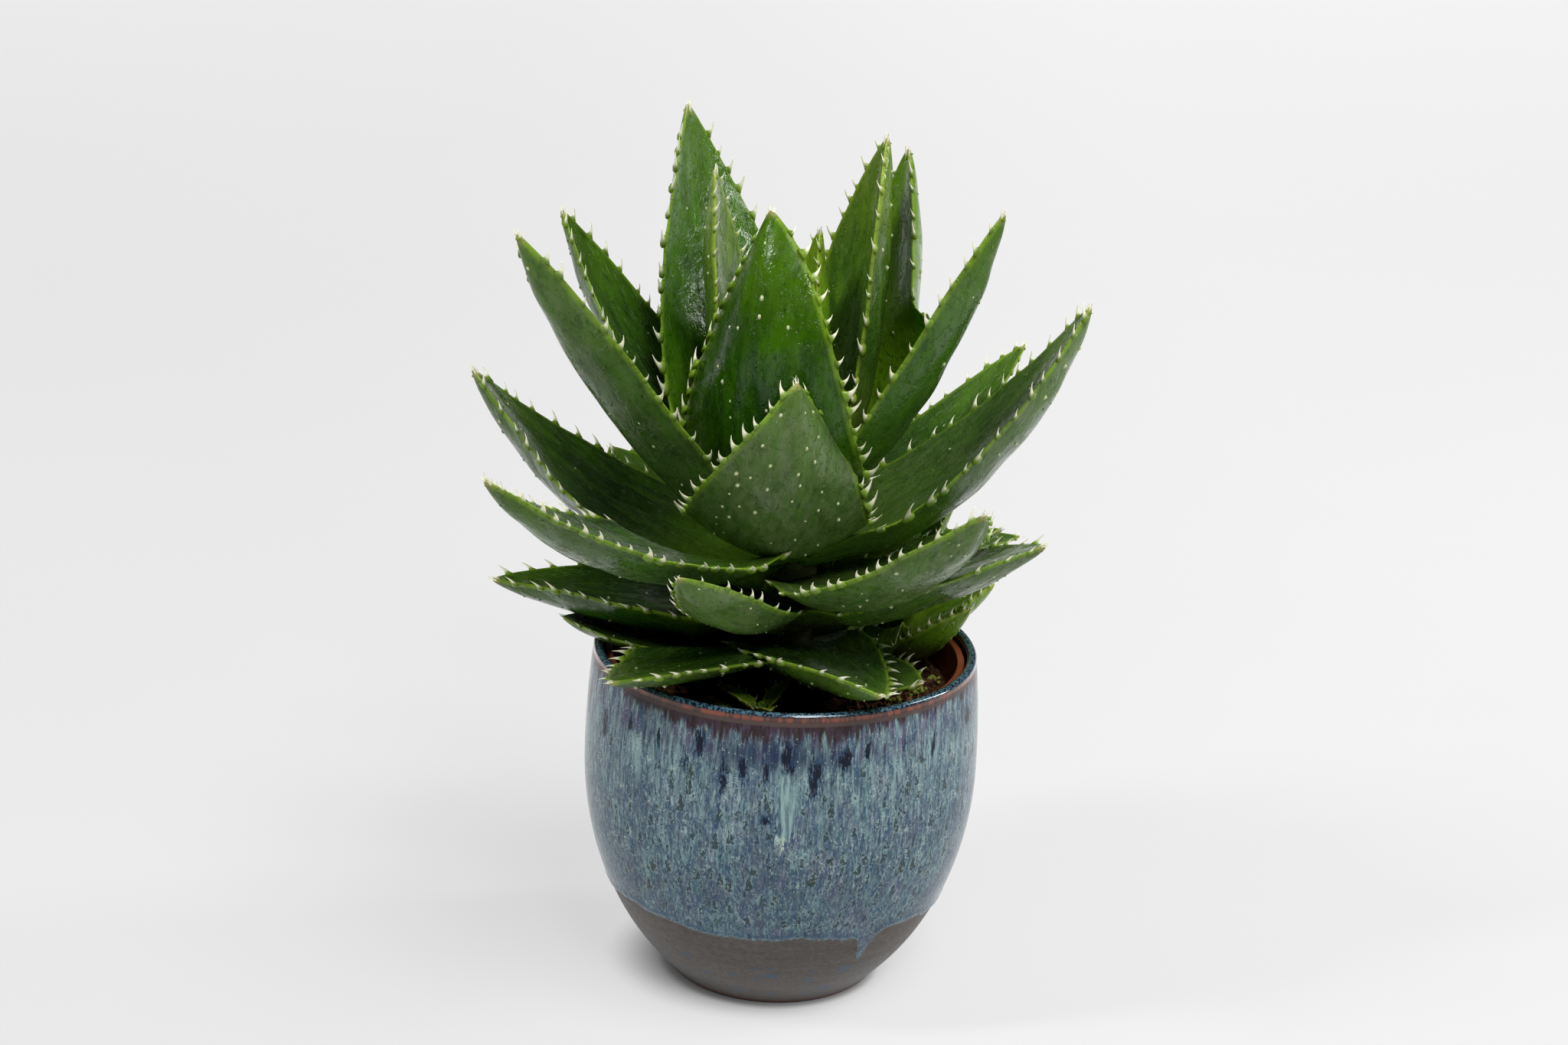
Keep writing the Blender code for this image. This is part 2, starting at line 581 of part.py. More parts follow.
def make_nursery_pot(parts, cutters, material):
    base = seat_height()
    rim = NURSERY_RIM_RADIUS
    inner_rim = nursery_radius(NURSERY_RIM_HEIGHT) - NURSERY_WALL
    band = NURSERY_RIM_HEIGHT - NURSERY_BAND_DEPTH
    profile = [
        (0, base + NURSERY_WALL),
        (NURSERY_BASE_RADIUS - NURSERY_WALL, base + NURSERY_WALL),
        (inner_rim, NURSERY_RIM_HEIGHT - NURSERY_EDGE),
        (inner_rim + NURSERY_EDGE, NURSERY_RIM_HEIGHT),
        (rim - NURSERY_EDGE, NURSERY_RIM_HEIGHT),
        (rim, NURSERY_RIM_HEIGHT - NURSERY_EDGE),
        (rim - NURSERY_BAND_TAPER, band),
        (nursery_radius(band), band - NURSERY_BAND_STEP),
        (NURSERY_BASE_RADIUS, base + NURSERY_EDGE),
        (NURSERY_BASE_RADIUS - NURSERY_EDGE, base),
        (0, base),
    ]
    pot = turned("nursery_pot", profile, NURSERY_SEGMENTS, parts, material)
    drills = []
    for i in range(DRAIN_HOLES):
        turn = tau * i / DRAIN_HOLES
        place = (DRAIN_RING_RADIUS * cos(turn), DRAIN_RING_RADIUS * sin(turn), base)
        drill = upright_cylinder(DRAIN_HOLE_RADIUS, DRILL_DEPTH, DRILL_SIDES, place)
        drills.append(new_object(f"drain_{i}", drill, cutters))
    cut_away(pot, drills)
    shade(pot)


# Potting soil up to its rough surface, with a plain hole for each stem
def make_soil(parts, cutters, material):
    bottom = seat_height() + NURSERY_WALL + GAP
    inset = NURSERY_WALL + 2 * GAP
    top_radius = nursery_radius(SOIL_HEIGHT) - inset
    rings = [(top_radius * i / SOIL_RINGS, SOIL_HEIGHT) for i in range(SOIL_RINGS + 1)]
    profile = [*rings, (nursery_radius(bottom) - inset, bottom), (0, bottom)]
    soil = turned("soil", profile, SOIL_SEGMENTS, parts, material)
    apply_modifiers(soil)
    for vertex in soil.data.vertices:
        if vertex.co.z > SOIL_HEIGHT - TINY and vertex.co.xy.length < top_radius - TINY:
            bumps = noise.noise(vertex.co * SOIL_LUMPS) + noise.noise(vertex.co * SOIL_GRAINS)
            vertex.co.z += SOIL_ROUGHNESS * (1 + bumps)
    cut_away(soil, [new_object(f"hole_{stem.name}", stem_bed(stem), cutters) for stem in STEMS])


def make_stem(stem, parts, material):
    radius = stem.radius
    crown = stem.top - radius * STEM_CROWN_DEPTH
    profile = [(0, stem.top), (radius * STEM_CROWN_WIDTH, stem.top), (radius, crown), (radius, stem.foot)]
    obj = turned(stem.name, [*profile, (0, stem.foot)], STEM_SIDES, parts, material)
    obj.location = (stem.x, stem.y, 0)


def clear_scene():
    for obj in list(bpy.data.objects):
        bpy.data.objects.remove(obj, do_unlink=True)


def make_collection(name):
    collection = bpy.data.collections.new(name)
    bpy.context.scene.collection.children.link(collection)
    return collection


def main():
    clear_scene()
    parts = make_collection("potted_mitre_aloe")
    cutters = make_collection("cutters")
    materials = {
        "glaze": make_material("glaze", (0.16, 0.24, 0.30), 0.25),
        "nursery_plastic": make_material("nursery_plastic", (0.42, 0.13, 0.06), 0.45),
        "soil": make_material("soil", (0.05, 0.03, 0.02), 0.95),
        "stem": make_material("stem", (0.20, 0.22, 0.08), 0.7),
        "leaf": make_material("leaf", (0.06, 0.16, 0.03), 0.35),
        "young_leaf": make_material("young_leaf", (0.16, 0.30, 0.04), 0.35),
    }
    make_cover_pot(parts, materials["glaze"])
    make_nursery_pot(parts, cutters, materials["nursery_plastic"])
    make_soil(parts, cutters, materials["soil"])
    for stem in STEMS:
        make_stem(stem, parts, materials["stem"])
    make_leaves(parts, cutters, materials)
    bpy.data.collections.remove(cutters)


main()
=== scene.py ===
import math
import random

import bmesh
import bpy
import numpy as np
from mathutils import Matrix, Vector, noise
from mathutils.bvhtree import BVHTree


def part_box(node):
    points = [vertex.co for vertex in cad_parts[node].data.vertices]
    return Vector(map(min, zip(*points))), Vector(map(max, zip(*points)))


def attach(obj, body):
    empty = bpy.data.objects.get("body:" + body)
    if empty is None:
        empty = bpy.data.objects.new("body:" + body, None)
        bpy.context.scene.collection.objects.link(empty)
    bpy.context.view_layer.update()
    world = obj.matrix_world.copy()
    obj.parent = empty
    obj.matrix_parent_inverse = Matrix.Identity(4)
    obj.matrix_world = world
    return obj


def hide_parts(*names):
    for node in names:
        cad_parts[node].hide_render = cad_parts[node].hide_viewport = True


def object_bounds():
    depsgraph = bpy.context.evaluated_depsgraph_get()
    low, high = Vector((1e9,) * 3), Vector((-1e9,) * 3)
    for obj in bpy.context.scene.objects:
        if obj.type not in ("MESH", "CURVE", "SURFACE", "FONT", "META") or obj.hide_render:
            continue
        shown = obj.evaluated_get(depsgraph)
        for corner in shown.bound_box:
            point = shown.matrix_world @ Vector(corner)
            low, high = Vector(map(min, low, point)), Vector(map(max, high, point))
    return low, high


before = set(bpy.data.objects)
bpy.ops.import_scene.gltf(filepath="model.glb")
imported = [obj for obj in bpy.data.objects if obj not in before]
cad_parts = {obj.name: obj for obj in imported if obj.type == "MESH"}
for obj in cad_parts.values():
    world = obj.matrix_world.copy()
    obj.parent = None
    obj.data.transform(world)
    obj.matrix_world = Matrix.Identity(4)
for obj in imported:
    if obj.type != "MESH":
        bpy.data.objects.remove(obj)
cadLow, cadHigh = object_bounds()
scene = bpy.context.scene


# The camera stands about a metre away and looks down at the plant, slightly rolled
def makeCamera(look):
    data = bpy.data.cameras.new("camera")
    data.lens = look["lens"]
    data.sensor_width = 36
    camera = bpy.data.objects.new("camera", data)
    scene.collection.objects.link(camera)
    tilt = Matrix.Rotation(math.pi / 2 - look["pitch"], 4, "X")
    camera.matrix_world = Matrix.Translation(look["place"]) @ tilt @ Matrix.Rotation(look["roll"], 4, "Z")
    scene.camera = camera


camera = {"place": (-0.0023, -1.0043, 0.4979), "pitch": 0.326, "roll": 0.045, "lens": 74.08}
makeCamera(camera)
print("camera")


# Gives a socket another node's output, or a plain value
def feed(tree, value, socket):
    if isinstance(value, bpy.types.NodeSocket):
        tree.links.new(value, socket)
    else:
        socket.default_value = value


def addNode(tree, kind, inputs=None, **settings):
    made = tree.nodes.new(kind)
    for name, value in settings.items():
        setattr(made, name, value)
    for key, value in (inputs or {}).items():
        feed(tree, value, made.inputs[key])
    return made


def maths(tree, operation, first, second=0.0, clamp=False):
    made = addNode(tree, "ShaderNodeMath", {0: first, 1: second}, operation=operation, use_clamp=clamp)
    return made.outputs[0]


def vectorMaths(tree, operation, first, second):
    made = addNode(tree, "ShaderNodeVectorMath", {0: first, 1: second}, operation=operation)
    return made.outputs["Value" if operation == "DISTANCE" else "Vector"]


def plus(tree, first, second, clamp=False):
    return maths(tree, "ADD", first, second, clamp)


def minus(tree, first, second):
    return maths(tree, "SUBTRACT", first, second)


def times(tree, first, second, clamp=False):
    return maths(tree, "MULTIPLY", first, second, clamp)


# A value taken from one range to another
def ranged(tree, value, low, high, toLow=0.0, toHigh=1.0):
    inputs = {"Value": value, "From Min": low, "From Max": high, "To Min": toLow, "To Max": toHigh}
    return addNode(tree, "ShaderNodeMapRange", inputs, interpolation_type="SMOOTHSTEP").outputs["Result"]


def mixed(tree, share, first, second):
    made = addNode(tree, "ShaderNodeMix", {"Factor": share}, data_type="RGBA")
    for index, value in ((6, first), (7, second)):
        feed(tree, (*value, 1) if isinstance(value, tuple) else value, made.inputs[index])
    return made.outputs[2]


# Lays tones over a colour, each where its mask is 1. A tone is a name in the look, or another node's output.
def painted(tree, colour, look, layers):
    for mask, tone in layers:
        colour = mixed(tree, mask, colour, look[tone] if isinstance(tone, str) else tone)
    return colour


def separate(tree, vector):
    return addNode(tree, "ShaderNodeSeparateXYZ", {0: vector}).outputs[:3]


def objectPlace(tree):
    return addNode(tree, "ShaderNodeTexCoord").outputs["Object"]


# A named vector value on the mesh, whole or in its three parts
def attribute(tree, name):
    return addNode(tree, "ShaderNodeAttribute", attribute_name=name).outputs["Vector"]


def parts(tree, name):
    return separate(tree, attribute(tree, name))


# A node group with named inputs and one named output, and the nodes that its maker adds
def makeGroup(name, vectors, numbers, output, fill):
    group = bpy.data.node_groups.new(name, "ShaderNodeTree")
    for label in vectors:
        group.interface.new_socket(label, in_out="INPUT", socket_type="NodeSocketVector")
    for label, value in numbers.items():
        group.interface.new_socket(label, in_out="INPUT", socket_type="NodeSocketFloat").default_value = value
    group.interface.new_socket(output, in_out="OUTPUT", socket_type="NodeSocketFloat")
    entry = group.nodes.new("NodeGroupInput")
    leave = group.nodes.new("NodeGroupOutput")
    group.links.new(fill(group, entry.outputs), leave.inputs[output])
    return group


def grouped(tree, group, **inputs):
    return addNode(tree, "ShaderNodeGroup", inputs, node_tree=group).outputs[0]


def scaledPlace(tree, entry):
    return vectorMaths(tree, "MULTIPLY", entry["Coordinates"], entry["Scale"])


def cellsAt(tree, where):
    cells = addNode(tree, "ShaderNodeTexVoronoi", {"Vector": where, "Scale": 1.0}, feature="F1").outputs
    return cells["Distance"], cells["Position"], separate(tree, cells["Color"])


# Long soft streaks, drawn out along whichever axis has the smallest scale
def fillStreaks(tree, entry):
    inputs = {"Vector": scaledPlace(tree, entry), "Scale": 1.0, "Detail": entry["Detail"], "Roughness": 0.6,
              "Distortion": entry["Wander"]}
    cloud = addNode(tree, "ShaderNodeTexNoise", inputs).outputs[0]
    return ranged(tree, cloud, entry["Low"], entry["High"])


# Round spots with a random size each. A share of the cells stays empty.
def fillSpots(tree, entry):
    away, _, luck = cellsAt(tree, scaledPlace(tree, entry))
    radius = times(tree, entry["Size"], ranged(tree, luck[1], 0, 1, 0.4, 1.0))
    spot = ranged(tree, away, radius, times(tree, radius, 0.55))
    return times(tree, spot, maths(tree, "LESS_THAN", luck[0], entry["Share"]))


# Drops that ran down and set: round below and drawn out to a point above
def fillTears(tree, entry):
    where = scaledPlace(tree, entry)
    _, centre, luck = cellsAt(tree, where)
    x, y, z = separate(tree, vectorMaths(tree, "SUBTRACT", where, centre))
    flat = maths(tree, "SQRT", plus(tree, times(tree, x, x), times(tree, y, y)))
    size = times(tree, entry["Size"], ranged(tree, luck[1], 0, 1, 0.5, 1.0))
    rise = maths(tree, "DIVIDE", z, size)
    wide = times(tree, size, ranged(tree, rise, 1.8, -0.7))
    drop = ranged(tree, flat, wide, times(tree, wide, entry["Core"]))
    drop = times(tree, drop, ranged(tree, rise, -1.0, -0.75))
    return times(tree, drop, maths(tree, "LESS_THAN", luck[0], entry["Share"]))


# Thin wandering lines, where a cloud passes its middle value
def fillVeins(tree, entry):
    inputs = {"Vector": scaledPlace(tree, entry), "Scale": 1.0, "Detail": 2, "Distortion": 1.0}
    off = maths(tree, "ABSOLUTE", minus(tree, addNode(tree, "ShaderNodeTexNoise", inputs).outputs[0], 0.5))
    return ranged(tree, off, entry["Width"], times(tree, entry["Width"], 0.3))


# Fine grain and broader waves, as one height
def fillGrain(tree, entry):
    place = entry["Coordinates"]
    fine = addNode(tree, "ShaderNodeTexNoise", {"Vector": place, "Scale": entry["Fine"], "Detail": 3})
    broad = addNode(tree, "ShaderNodeTexNoise", {"Vector": place, "Scale": entry["Broad"], "Detail": 2})
    return plus(tree, times(tree, fine.outputs[0], entry["Amount"]), broad.outputs[0])


cellInputs = ["Coordinates", "Scale"]
streakInputs = {"Detail": 4, "Wander": 0, "Low": 0.45, "High": 0.6}
streaks = makeGroup("streaks", cellInputs, streakInputs, "Mask", fillStreaks)
spots = makeGroup("spots", cellInputs, {"Size": 0.3, "Share": 0.5}, "Mask", fillSpots)
tears = makeGroup("tears", cellInputs, {"Size": 0.3, "Core": 0.5, "Share": 0.5}, "Mask", fillTears)
veins = makeGroup("veins", cellInputs, {"Width": 0.03}, "Mask", fillVeins)
grain = makeGroup("grain", ["Coordinates"], {"Fine": 3000, "Broad": 300, "Amount": 0.4}, "Height", fillGrain)


def newMaterial(name):
    material = bpy.data.materials.new(name)
    material.use_nodes = True
    tree = material.node_tree
    return material, tree, tree.nodes["Principled BSDF"]


# bump is how strong the relief is and how high in metres. constants go straight to the shader's own sockets.
def setSurface(tree, surface, colour, roughness, height, bump, constants=None):
    inputs = {"Height": height, "Strength": bump[0], "Distance": bump[1]}
    normal = addNode(tree, "ShaderNodeBump", inputs).outputs[0]
    for label, value in (("Normal", normal), ("Base Color", colour), ("Roughness", roughness)):
        tree.links.new(value, surface.inputs[label])
    for label, value in (constants or {}).items():
        surface.inputs[label].default_value = value
    return normal


# "place" is across and along the leaf in millimetres, and a shift of the leaf's own. "cover" is the closeness
# to the margin, thorns and tubercles, and the outer face. "ends" is the share of the length, and the drops.
# "tone" is the haze, how fresh a green the leaf is, and how much paler and younger it looks: painted light
# shining through a leaf that stands in shade.
def leafMaterial(name, look):
    material, tree, surface = newMaterial(name)
    place = attribute(tree, "place")
    margin, thorn, outer = parts(tree, "cover")
    along, wet, _ = parts(tree, "ends")
    hazy, shade, lime = parts(tree, "tone")

    def streak(scale, low, high, share=1.0):
        made = grouped(tree, streaks, Coordinates=place, Scale=(*scale, 1), Low=low, High=high)
        return times(tree, made, share)

    patches = streak((0.16, 0.045), 0.3, 0.7)
    fresh = plus(tree, shade, times(tree, minus(tree, patches, 0.5), 0.8), clamp=True)
    dust = times(tree, ranged(tree, streak((0.30, 0.16), 0.25, 0.75), 0, 1, 0.35, 1.0), hazy, clamp=True)
    inner = minus(tree, 1.0, outer)
    dashes = times(tree, streak((1.5, 0.22), 0.60, 0.68, look["dashes"]), ranged(tree, inner, 0, 1, 0.3, 1))
    mist = grouped(tree, spots, Coordinates=place, Scale=(1.3, 1.1, 1), Size=0.24, Share=0.45)
    mist = times(tree, mist, streak((0.12, 0.07), 0.46, 0.58))
    rim = times(tree, ranged(tree, margin, 0.30, 0.96), ranged(tree, patches, 0, 1, 0.5, 1.1))
    colour = mixed(tree, fresh, look["deep"], look["fresh"])
    colour = painted(tree, colour, look, [
        (outer, mixed(tree, fresh, look["outerDeep"], look["outerFresh"])),
        # painted light shining through a leaf in shade, laid on as a paler young green
        (lime, "lime"),
        (times(tree, ranged(tree, along, 0.42, 0.05), look["rootShare"]), "root"),
        (ranged(tree, along, 0.5, 1.0, 0, look["endShare"]), "line"),
        (dust, "bloom"),
        (streak((1.1, 0.05), 0.5, 0.72, look["lines"]), "line"),
        (dashes, "dash"),
        (streak((0.85, 0.34), 0.62, 0.67, 0.55), "dark"),
        (streak((0.26, 0.13), 0.55, 0.70, 0.4), "dark"),
        (times(tree, mist, 0.4), "dash"),
        (times(tree, rim, look["rimShare"]), "margin"),
        (ranged(tree, thorn, 0.03, 0.42), "thorn"),
        (ranged(tree, thorn, 0.94, 1.0, 0, 0.4), "spine"),
        (times(tree, ranged(tree, along, 0.965, 0.998), look["tipShare"]), "tip"),
    ])
    film = streak((0.22, 0.12), 0.485, 0.515)
    ribs = streak((0.7, 0.03), 0.2, 0.8)
    height = grouped(tree, grain, Coordinates=place, Fine=1.1, Broad=0.20, Amount=0.25)
    for mask, share in ((ribs, 0.07), (film, 0.5), (mist, 0.9)):
        height = plus(tree, height, times(tree, mask, share))
    shine = ranged(tree, film, 0, 1, look["roughness"] + 0.16, look["roughness"])
    shine = plus(tree, shine, times(tree, hazy, 0.10))
    shine = times(tree, shine, ranged(tree, wet, 0, 1, 1, 0.15))
    normal = setSurface(tree, surface, colour, shine, height, (look["bump"], 0.0006), {
        "Coat Roughness": 0.06, "Coat IOR": 1.36, "Specular IOR Level": look["gloss"],
        "Subsurface Weight": look["flesh"], "Subsurface Radius": (0.6, 1.0, 0.15), "Subsurface Scale": 0.003,
    })
    tree.links.new(normal, surface.inputs["Coat Normal"])
    water = streak((0.16, 0.07), 0.50, 0.53, look["water"])
    tree.links.new(maths(tree, "MAXIMUM", water, wet), surface.inputs["Coat Weight"])
    return material


oldLook = {
    "deep": (0.007, 0.038, 0.001), "fresh": (0.046, 0.148, 0.002),
    "outerDeep": (0.009, 0.046, 0.001), "outerFresh": (0.042, 0.138, 0.002), "dark": (0.004, 0.020, 0.001),
    "line": (0.105, 0.210, 0.012), "lines": 0.12, "dash": (0.24, 0.34, 0.13), "dashes": 0.45, "endShare": 0.4,
    "root": (0.110, 0.250, 0.006), "rootShare": 0.7, "margin": (0.20, 0.33, 0.022), "rimShare": 0.72,
    "bloom": (0.130, 0.185, 0.072), "lime": (0.140, 0.300, 0.008), "thorn": (0.88, 0.87, 0.64),
    "spine": (0.62, 0.36, 0.16), "tip": (0.40, 0.33, 0.13), "tipShare": 0.55, "roughness": 0.10, "bump": 0.7,
    "flesh": 0.10, "gloss": 0.16, "water": 0.5,
}
youngLook = dict(
    oldLook, deep=(0.036, 0.110, 0.002), fresh=(0.200, 0.380, 0.010), outerDeep=(0.028, 0.088, 0.002),
    outerFresh=(0.130, 0.290, 0.010), line=(0.24, 0.36, 0.03), root=(0.26, 0.38, 0.04),
    margin=(0.30, 0.42, 0.04), dark=(0.016, 0.060, 0.002), tipShare=0.5, flesh=0.14,
)


# The cover pot's surface, layer by layer. "glazed" is how far a point is above the glaze's lower edge and
# above the table, in millimetres, and whether it is inside. "runs" is the thick runs, their tails and the dark
# blots. "flow" is the dark pools, which are dark glaze and, in the middle of the front, painted shade, and how
# far the band under the lip draws back.
class Glaze:
    def __init__(self, tree, look):
        self.tree, self.look = tree, look
        self.place = objectPlace(tree)
        self.rise, self.height, self.side = parts(tree, "glazed")
        self.run, self.tail, self.blots = parts(tree, "runs")
        self.pool, self.bandLift, _ = parts(tree, "flow")
        shake = addNode(tree, "ShaderNodeTexNoise", {"Vector": self.place, "Scale": 700.0, "Detail": 2})
        shaken = vectorMaths(tree, "MULTIPLY", shake.outputs["Color"], (0.0016, 0.0016, 0.0026))
        self.wavy = vectorMaths(tree, "ADD", self.place, shaken)
        self.threads = self.streak((850, 850, 75), 0.36, 0.64)
        crystal = {"Scale": (1500, 1500, 1100), "Size": 0.42, "Share": 0.3}
        self.points = grouped(tree, spots, Coordinates=self.place, **crystal)
        self.ragged = self.rough((900, 900, 140), 0.7)
        self.crumbled = self.rough((1500, 1500, 900), 1.1, detail=2.0)
        flecks = plus(tree, self.tear((245, 245, 170), 0.60, 0.1, 0.8), self.crumbled)
        self.flecks = ranged(tree, flecks, 0.42, 0.72)
        self.wobble = plus(tree, self.rise, self.rough((1000, 1000, 300), 1.6))

    def streak(self, scale, low, high, share=1.0, wander=0.0, detail=5.0):
        inputs = {"Scale": scale, "Low": low, "High": high, "Wander": wander, "Detail": detail}
        return times(self.tree, grouped(self.tree, streaks, Coordinates=self.place, **inputs), share)

    # A fine noise about 0, which makes an edge ragged
    def rough(self, scale, amount, detail=5.0):
        return times(self.tree, minus(self.tree, self.streak(scale, 0.3, 0.7, detail=detail), 0.5), amount)

    def tear(self, scale, size, core, share):
        inputs = {"Scale": scale, "Size": size, "Core": core, "Share": share}
        return grouped(self.tree, tears, Coordinates=self.wavy, **inputs)

    # A mask that changes from one height to another, in millimetres
    def level(self, low, high, toLow=0.0, toHigh=1.0):
        return ranged(self.tree, self.height, low, high, toLow, toHigh)

    # A mask that is full from one height to another and fades out below and above them
    def between(self, low, full, still, high, top=1.0):
        return times(self.tree, self.level(low, full, 0, top), self.level(high, still))

    def painted(self, colour, layers):
        return painted(self.tree, colour, self.look, layers)

    # Slate, teal and violet with a fine pale and dark grain
    def ground(self):
        colour = mixed(self.tree, self.threads, self.look["slate"], self.look["teal"])
        paleRuns = self.streak((1250, 1250, 110), 0.46, 0.62, 0.5)
        duskClouds = self.streak((95, 95, 60), 0.47, 0.60, 0.5, 0.6)
        return self.painted(colour, [
            (self.streak((170, 170, 85), 0.40, 0.60, 0.85), "violet"),
            (self.streak((230, 230, 130), 0.45, 0.66, 0.45, 1.0), "teal"),
            (self.streak((60, 60, 34), 0.40, 0.60, 0.45, detail=2.0), "slate"),
            (times(self.tree, paleRuns, self.level(48, 92, 0.35, 1)), "pale"),
            (self.streak((1500, 1500, 480), 0.49, 0.64, 0.5), "pale"),
            (times(self.tree, duskClouds, self.level(98, 84)), "dusk"),
            (self.streak((1300, 1300, 420), 0.52, 0.64, 0.8, 0.6), "deep"),
            (self.streak((420, 420, 190), 0.52, 0.68, 0.55, 0.8), "deep"),
        ])

    # The upper part is drawn down in pale and dark threads, which gather in a few dark pools. The pool in the
    # middle of the front is painted shade.
    def drawnDown(self, colour):
        for scale, low, high, share, wander, where, tone in (
            ((780, 780, 48), 0.42, 0.66, 0.75, 0.5, self.level(74, 98), "mint"),
            ((460, 460, 60), 0.42, 0.62, 0.8, 0.4, self.between(95, 104, 112, 116), "lilac"),
            ((240, 240, 60), 0.53, 0.64, 0.7, 0.6, self.between(84, 95, 112, 116), "royal"),
            ((620, 620, 60), 0.55, 0.66, 0.8, 0.4, self.between(82, 95, 112, 116), "navy"),
            ((560, 560, 44), 0.36, 0.56, 0.85, 0.4, self.pool, "navy"),
        ):
            mask = times(self.tree, self.streak(scale, low, high, share, wander), where)
            colour = mixed(self.tree, mask, colour, self.look[tone])
        return colour

    # Pale crystals as wandering lines and points, and olive flecks with a paler edge
    def crystals(self, colour):
        tree = self.tree
        lines = grouped(tree, veins, Coordinates=self.place, Scale=(420, 420, 330), Width=0.035)
        lines = times(tree, lines, self.streak((160, 160, 120), 0.48, 0.60, 0.6))
        halo = self.tear((245, 245, 170), 0.72, 0.6, 0.8)
        return self.painted(colour, [
            (times(tree, lines, self.between(40, 62, 92, 104)), "crystal"),
            (times(tree, self.points, 0.65), "crystal"),
            (times(tree, halo, self.level(104, 90, 0, 0.3)), "pale"),
            (times(tree, self.flecks, self.level(106, 92, 0, 0.85)), "fleck"),
        ])

    # Ragged dark blots near the top, and thick runs with a cream tail
    def blotsAndRuns(self, colour):
        tree = self.tree
        blot = plus(tree, self.blots, plus(tree, self.ragged, times(tree, self.crumbled, 0.25)))
        torn = plus(tree, self.run, self.ragged)
        tail = ranged(tree, plus(tree, self.tail, self.ragged), 0.2, 0.6)
        return self.painted(colour, [
            (ranged(tree, blot, 0.12, 0.42, 0, 0.8), "royal"),
            (ranged(tree, blot, 0.30, 0.54), "ink"),
            (times(tree, ranged(tree, torn, 0.02, 0.25), self.level(104, 78, 0, 0.6)), "royal"),
            (times(tree, ranged(tree, torn, 0.25, 0.6), ranged(tree, self.threads, 0, 1, 0.3, 0.9)), "run"),
            (times(tree, tail, self.streak((1100, 1100, 600), 0.44, 0.56, 0.85, 0.8)), "cream"),
        ])

    # An iron-brown band under the lip, thin taupe and rust lines on it, the lip itself and the inside
    def lip(self, colour):
        tree, look = self.tree, self.look
        fall = plus(tree, self.height, times(tree, self.threads, -3.4))
        fall = minus(tree, plus(tree, fall, self.streak((300, 300, 40), 0.3, 0.7, -4.0)), self.bandLift)
        iron = mixed(tree, self.streak((600, 600, 90), 0.40, 0.62), look["iron"], look["plum"])
        iron = mixed(tree, self.streak((900, 900, 120), 0.54, 0.68, 0.45), iron, look["lilac"])
        rust = mixed(tree, self.streak((360, 360, 40), 0.46, 0.58, 0.85), look["rust"], look["iron"])
        edge = mixed(tree, self.streak((1100, 1100, 1100), 0.42, 0.58), look["lip"], look["ink"])
        return self.painted(colour, [
            (times(tree, ranged(tree, fall, 102.2, 106.0), 0.96), iron),
            (self.between(111.9, 112.4, 113.3, 113.7, 0.85), "taupe"),
            (self.between(113.4, 113.8, 115.0, 115.3), rust),
            (self.level(115.0, 115.5), edge),
            (ranged(tree, self.side, 0.60, 0.70), "rust"),
            (times(tree, ranged(tree, self.side, 0.75, 0.85), self.level(114.2, 112.8)), "inside"),
        ])

    def lowerEdge(self, colour):
        tree, wobble = self.tree, self.wobble
        return self.painted(colour, [
            (times(tree, ranged(tree, wobble, 0.3, 0.8), ranged(tree, wobble, 3.5, 1.4, 0, 0.45)), "blue"),
            (times(tree, ranged(tree, wobble, -0.3, 0.1), ranged(tree, wobble, 0.9, 0.3, 0, 0.7)), "edge"),
        ])

    # Bare clay with faint turning marks, rusty smudges and stray spots of glaze. It is paler towards the base,
    # a painted reflection of the bright floor.
    def clay(self):
        tree, look = self.tree, self.look
        strays = grouped(tree, spots, Coordinates=self.wavy, Scale=(170, 170, 300), Size=0.60, Share=0.6)
        clay = mixed(tree, self.streak((500, 500, 900), 0.3, 0.7), look["clay"], look["clayPale"])
        return self.painted(clay, [
            (self.streak((30, 30, 260), 0.35, 0.7, 0.5), "clayDark"),
            (self.streak((90, 90, 120), 0.56, 0.74, 0.35), "clayRust"),
            (times(tree, strays, self.between(4, 6, 15, 26, 0.8)), "blue"),
            (times(tree, self.points, self.between(4, 7, 30, 34, 0.3)), "edge"),
            # paler towards the base: painted reflection of the bright floor
            (self.level(21, 5, 0, 0.45), "clayFloorSheen"),
            (self.level(3.0, 1.6, 0, 0.75), "footRust"),
            # nearly black at the very bottom: a painted contact shadow under the foot
            (self.level(1.7, 0.9), "foot"),
        ])


def glazeMaterial(name, look):
    material, tree, surface = newMaterial(name)
    glaze = Glaze(tree, look)
    colour = glaze.ground()
    for layer in (glaze.drawnDown, glaze.crystals, glaze.blotsAndRuns, glaze.lip, glaze.lowerEdge):
        colour = layer(colour)
    glazed = ranged(tree, glaze.wobble, -0.15, 0.25)
    relief = grouped(tree, grain, Coordinates=glaze.place, Fine=1500, Broad=300)
    relief = plus(tree, plus(tree, relief, times(tree, glaze.flecks, -0.5)), times(tree, glaze.threads, 0.15))
    shine = ranged(tree, glazed, 0, 1, look["clayRoughness"], look["glazeRoughness"])
    shine = plus(tree, shine, glaze.streak((700, 700, 300), 0.4, 0.7, 0.08))
    shine = times(tree, shine, glaze.level(112.5, 114, 1, 0.5))
    setSurface(tree, surface, mixed(tree, glazed, glaze.clay(), colour), shine, relief, (0.35, 0.0003), {
        "Coat Roughness": 0.05, "Specular IOR Level": look["gloss"],
    })
    tree.links.new(glaze.level(113.2, 114.2), surface.inputs["Coat Weight"])
    return material


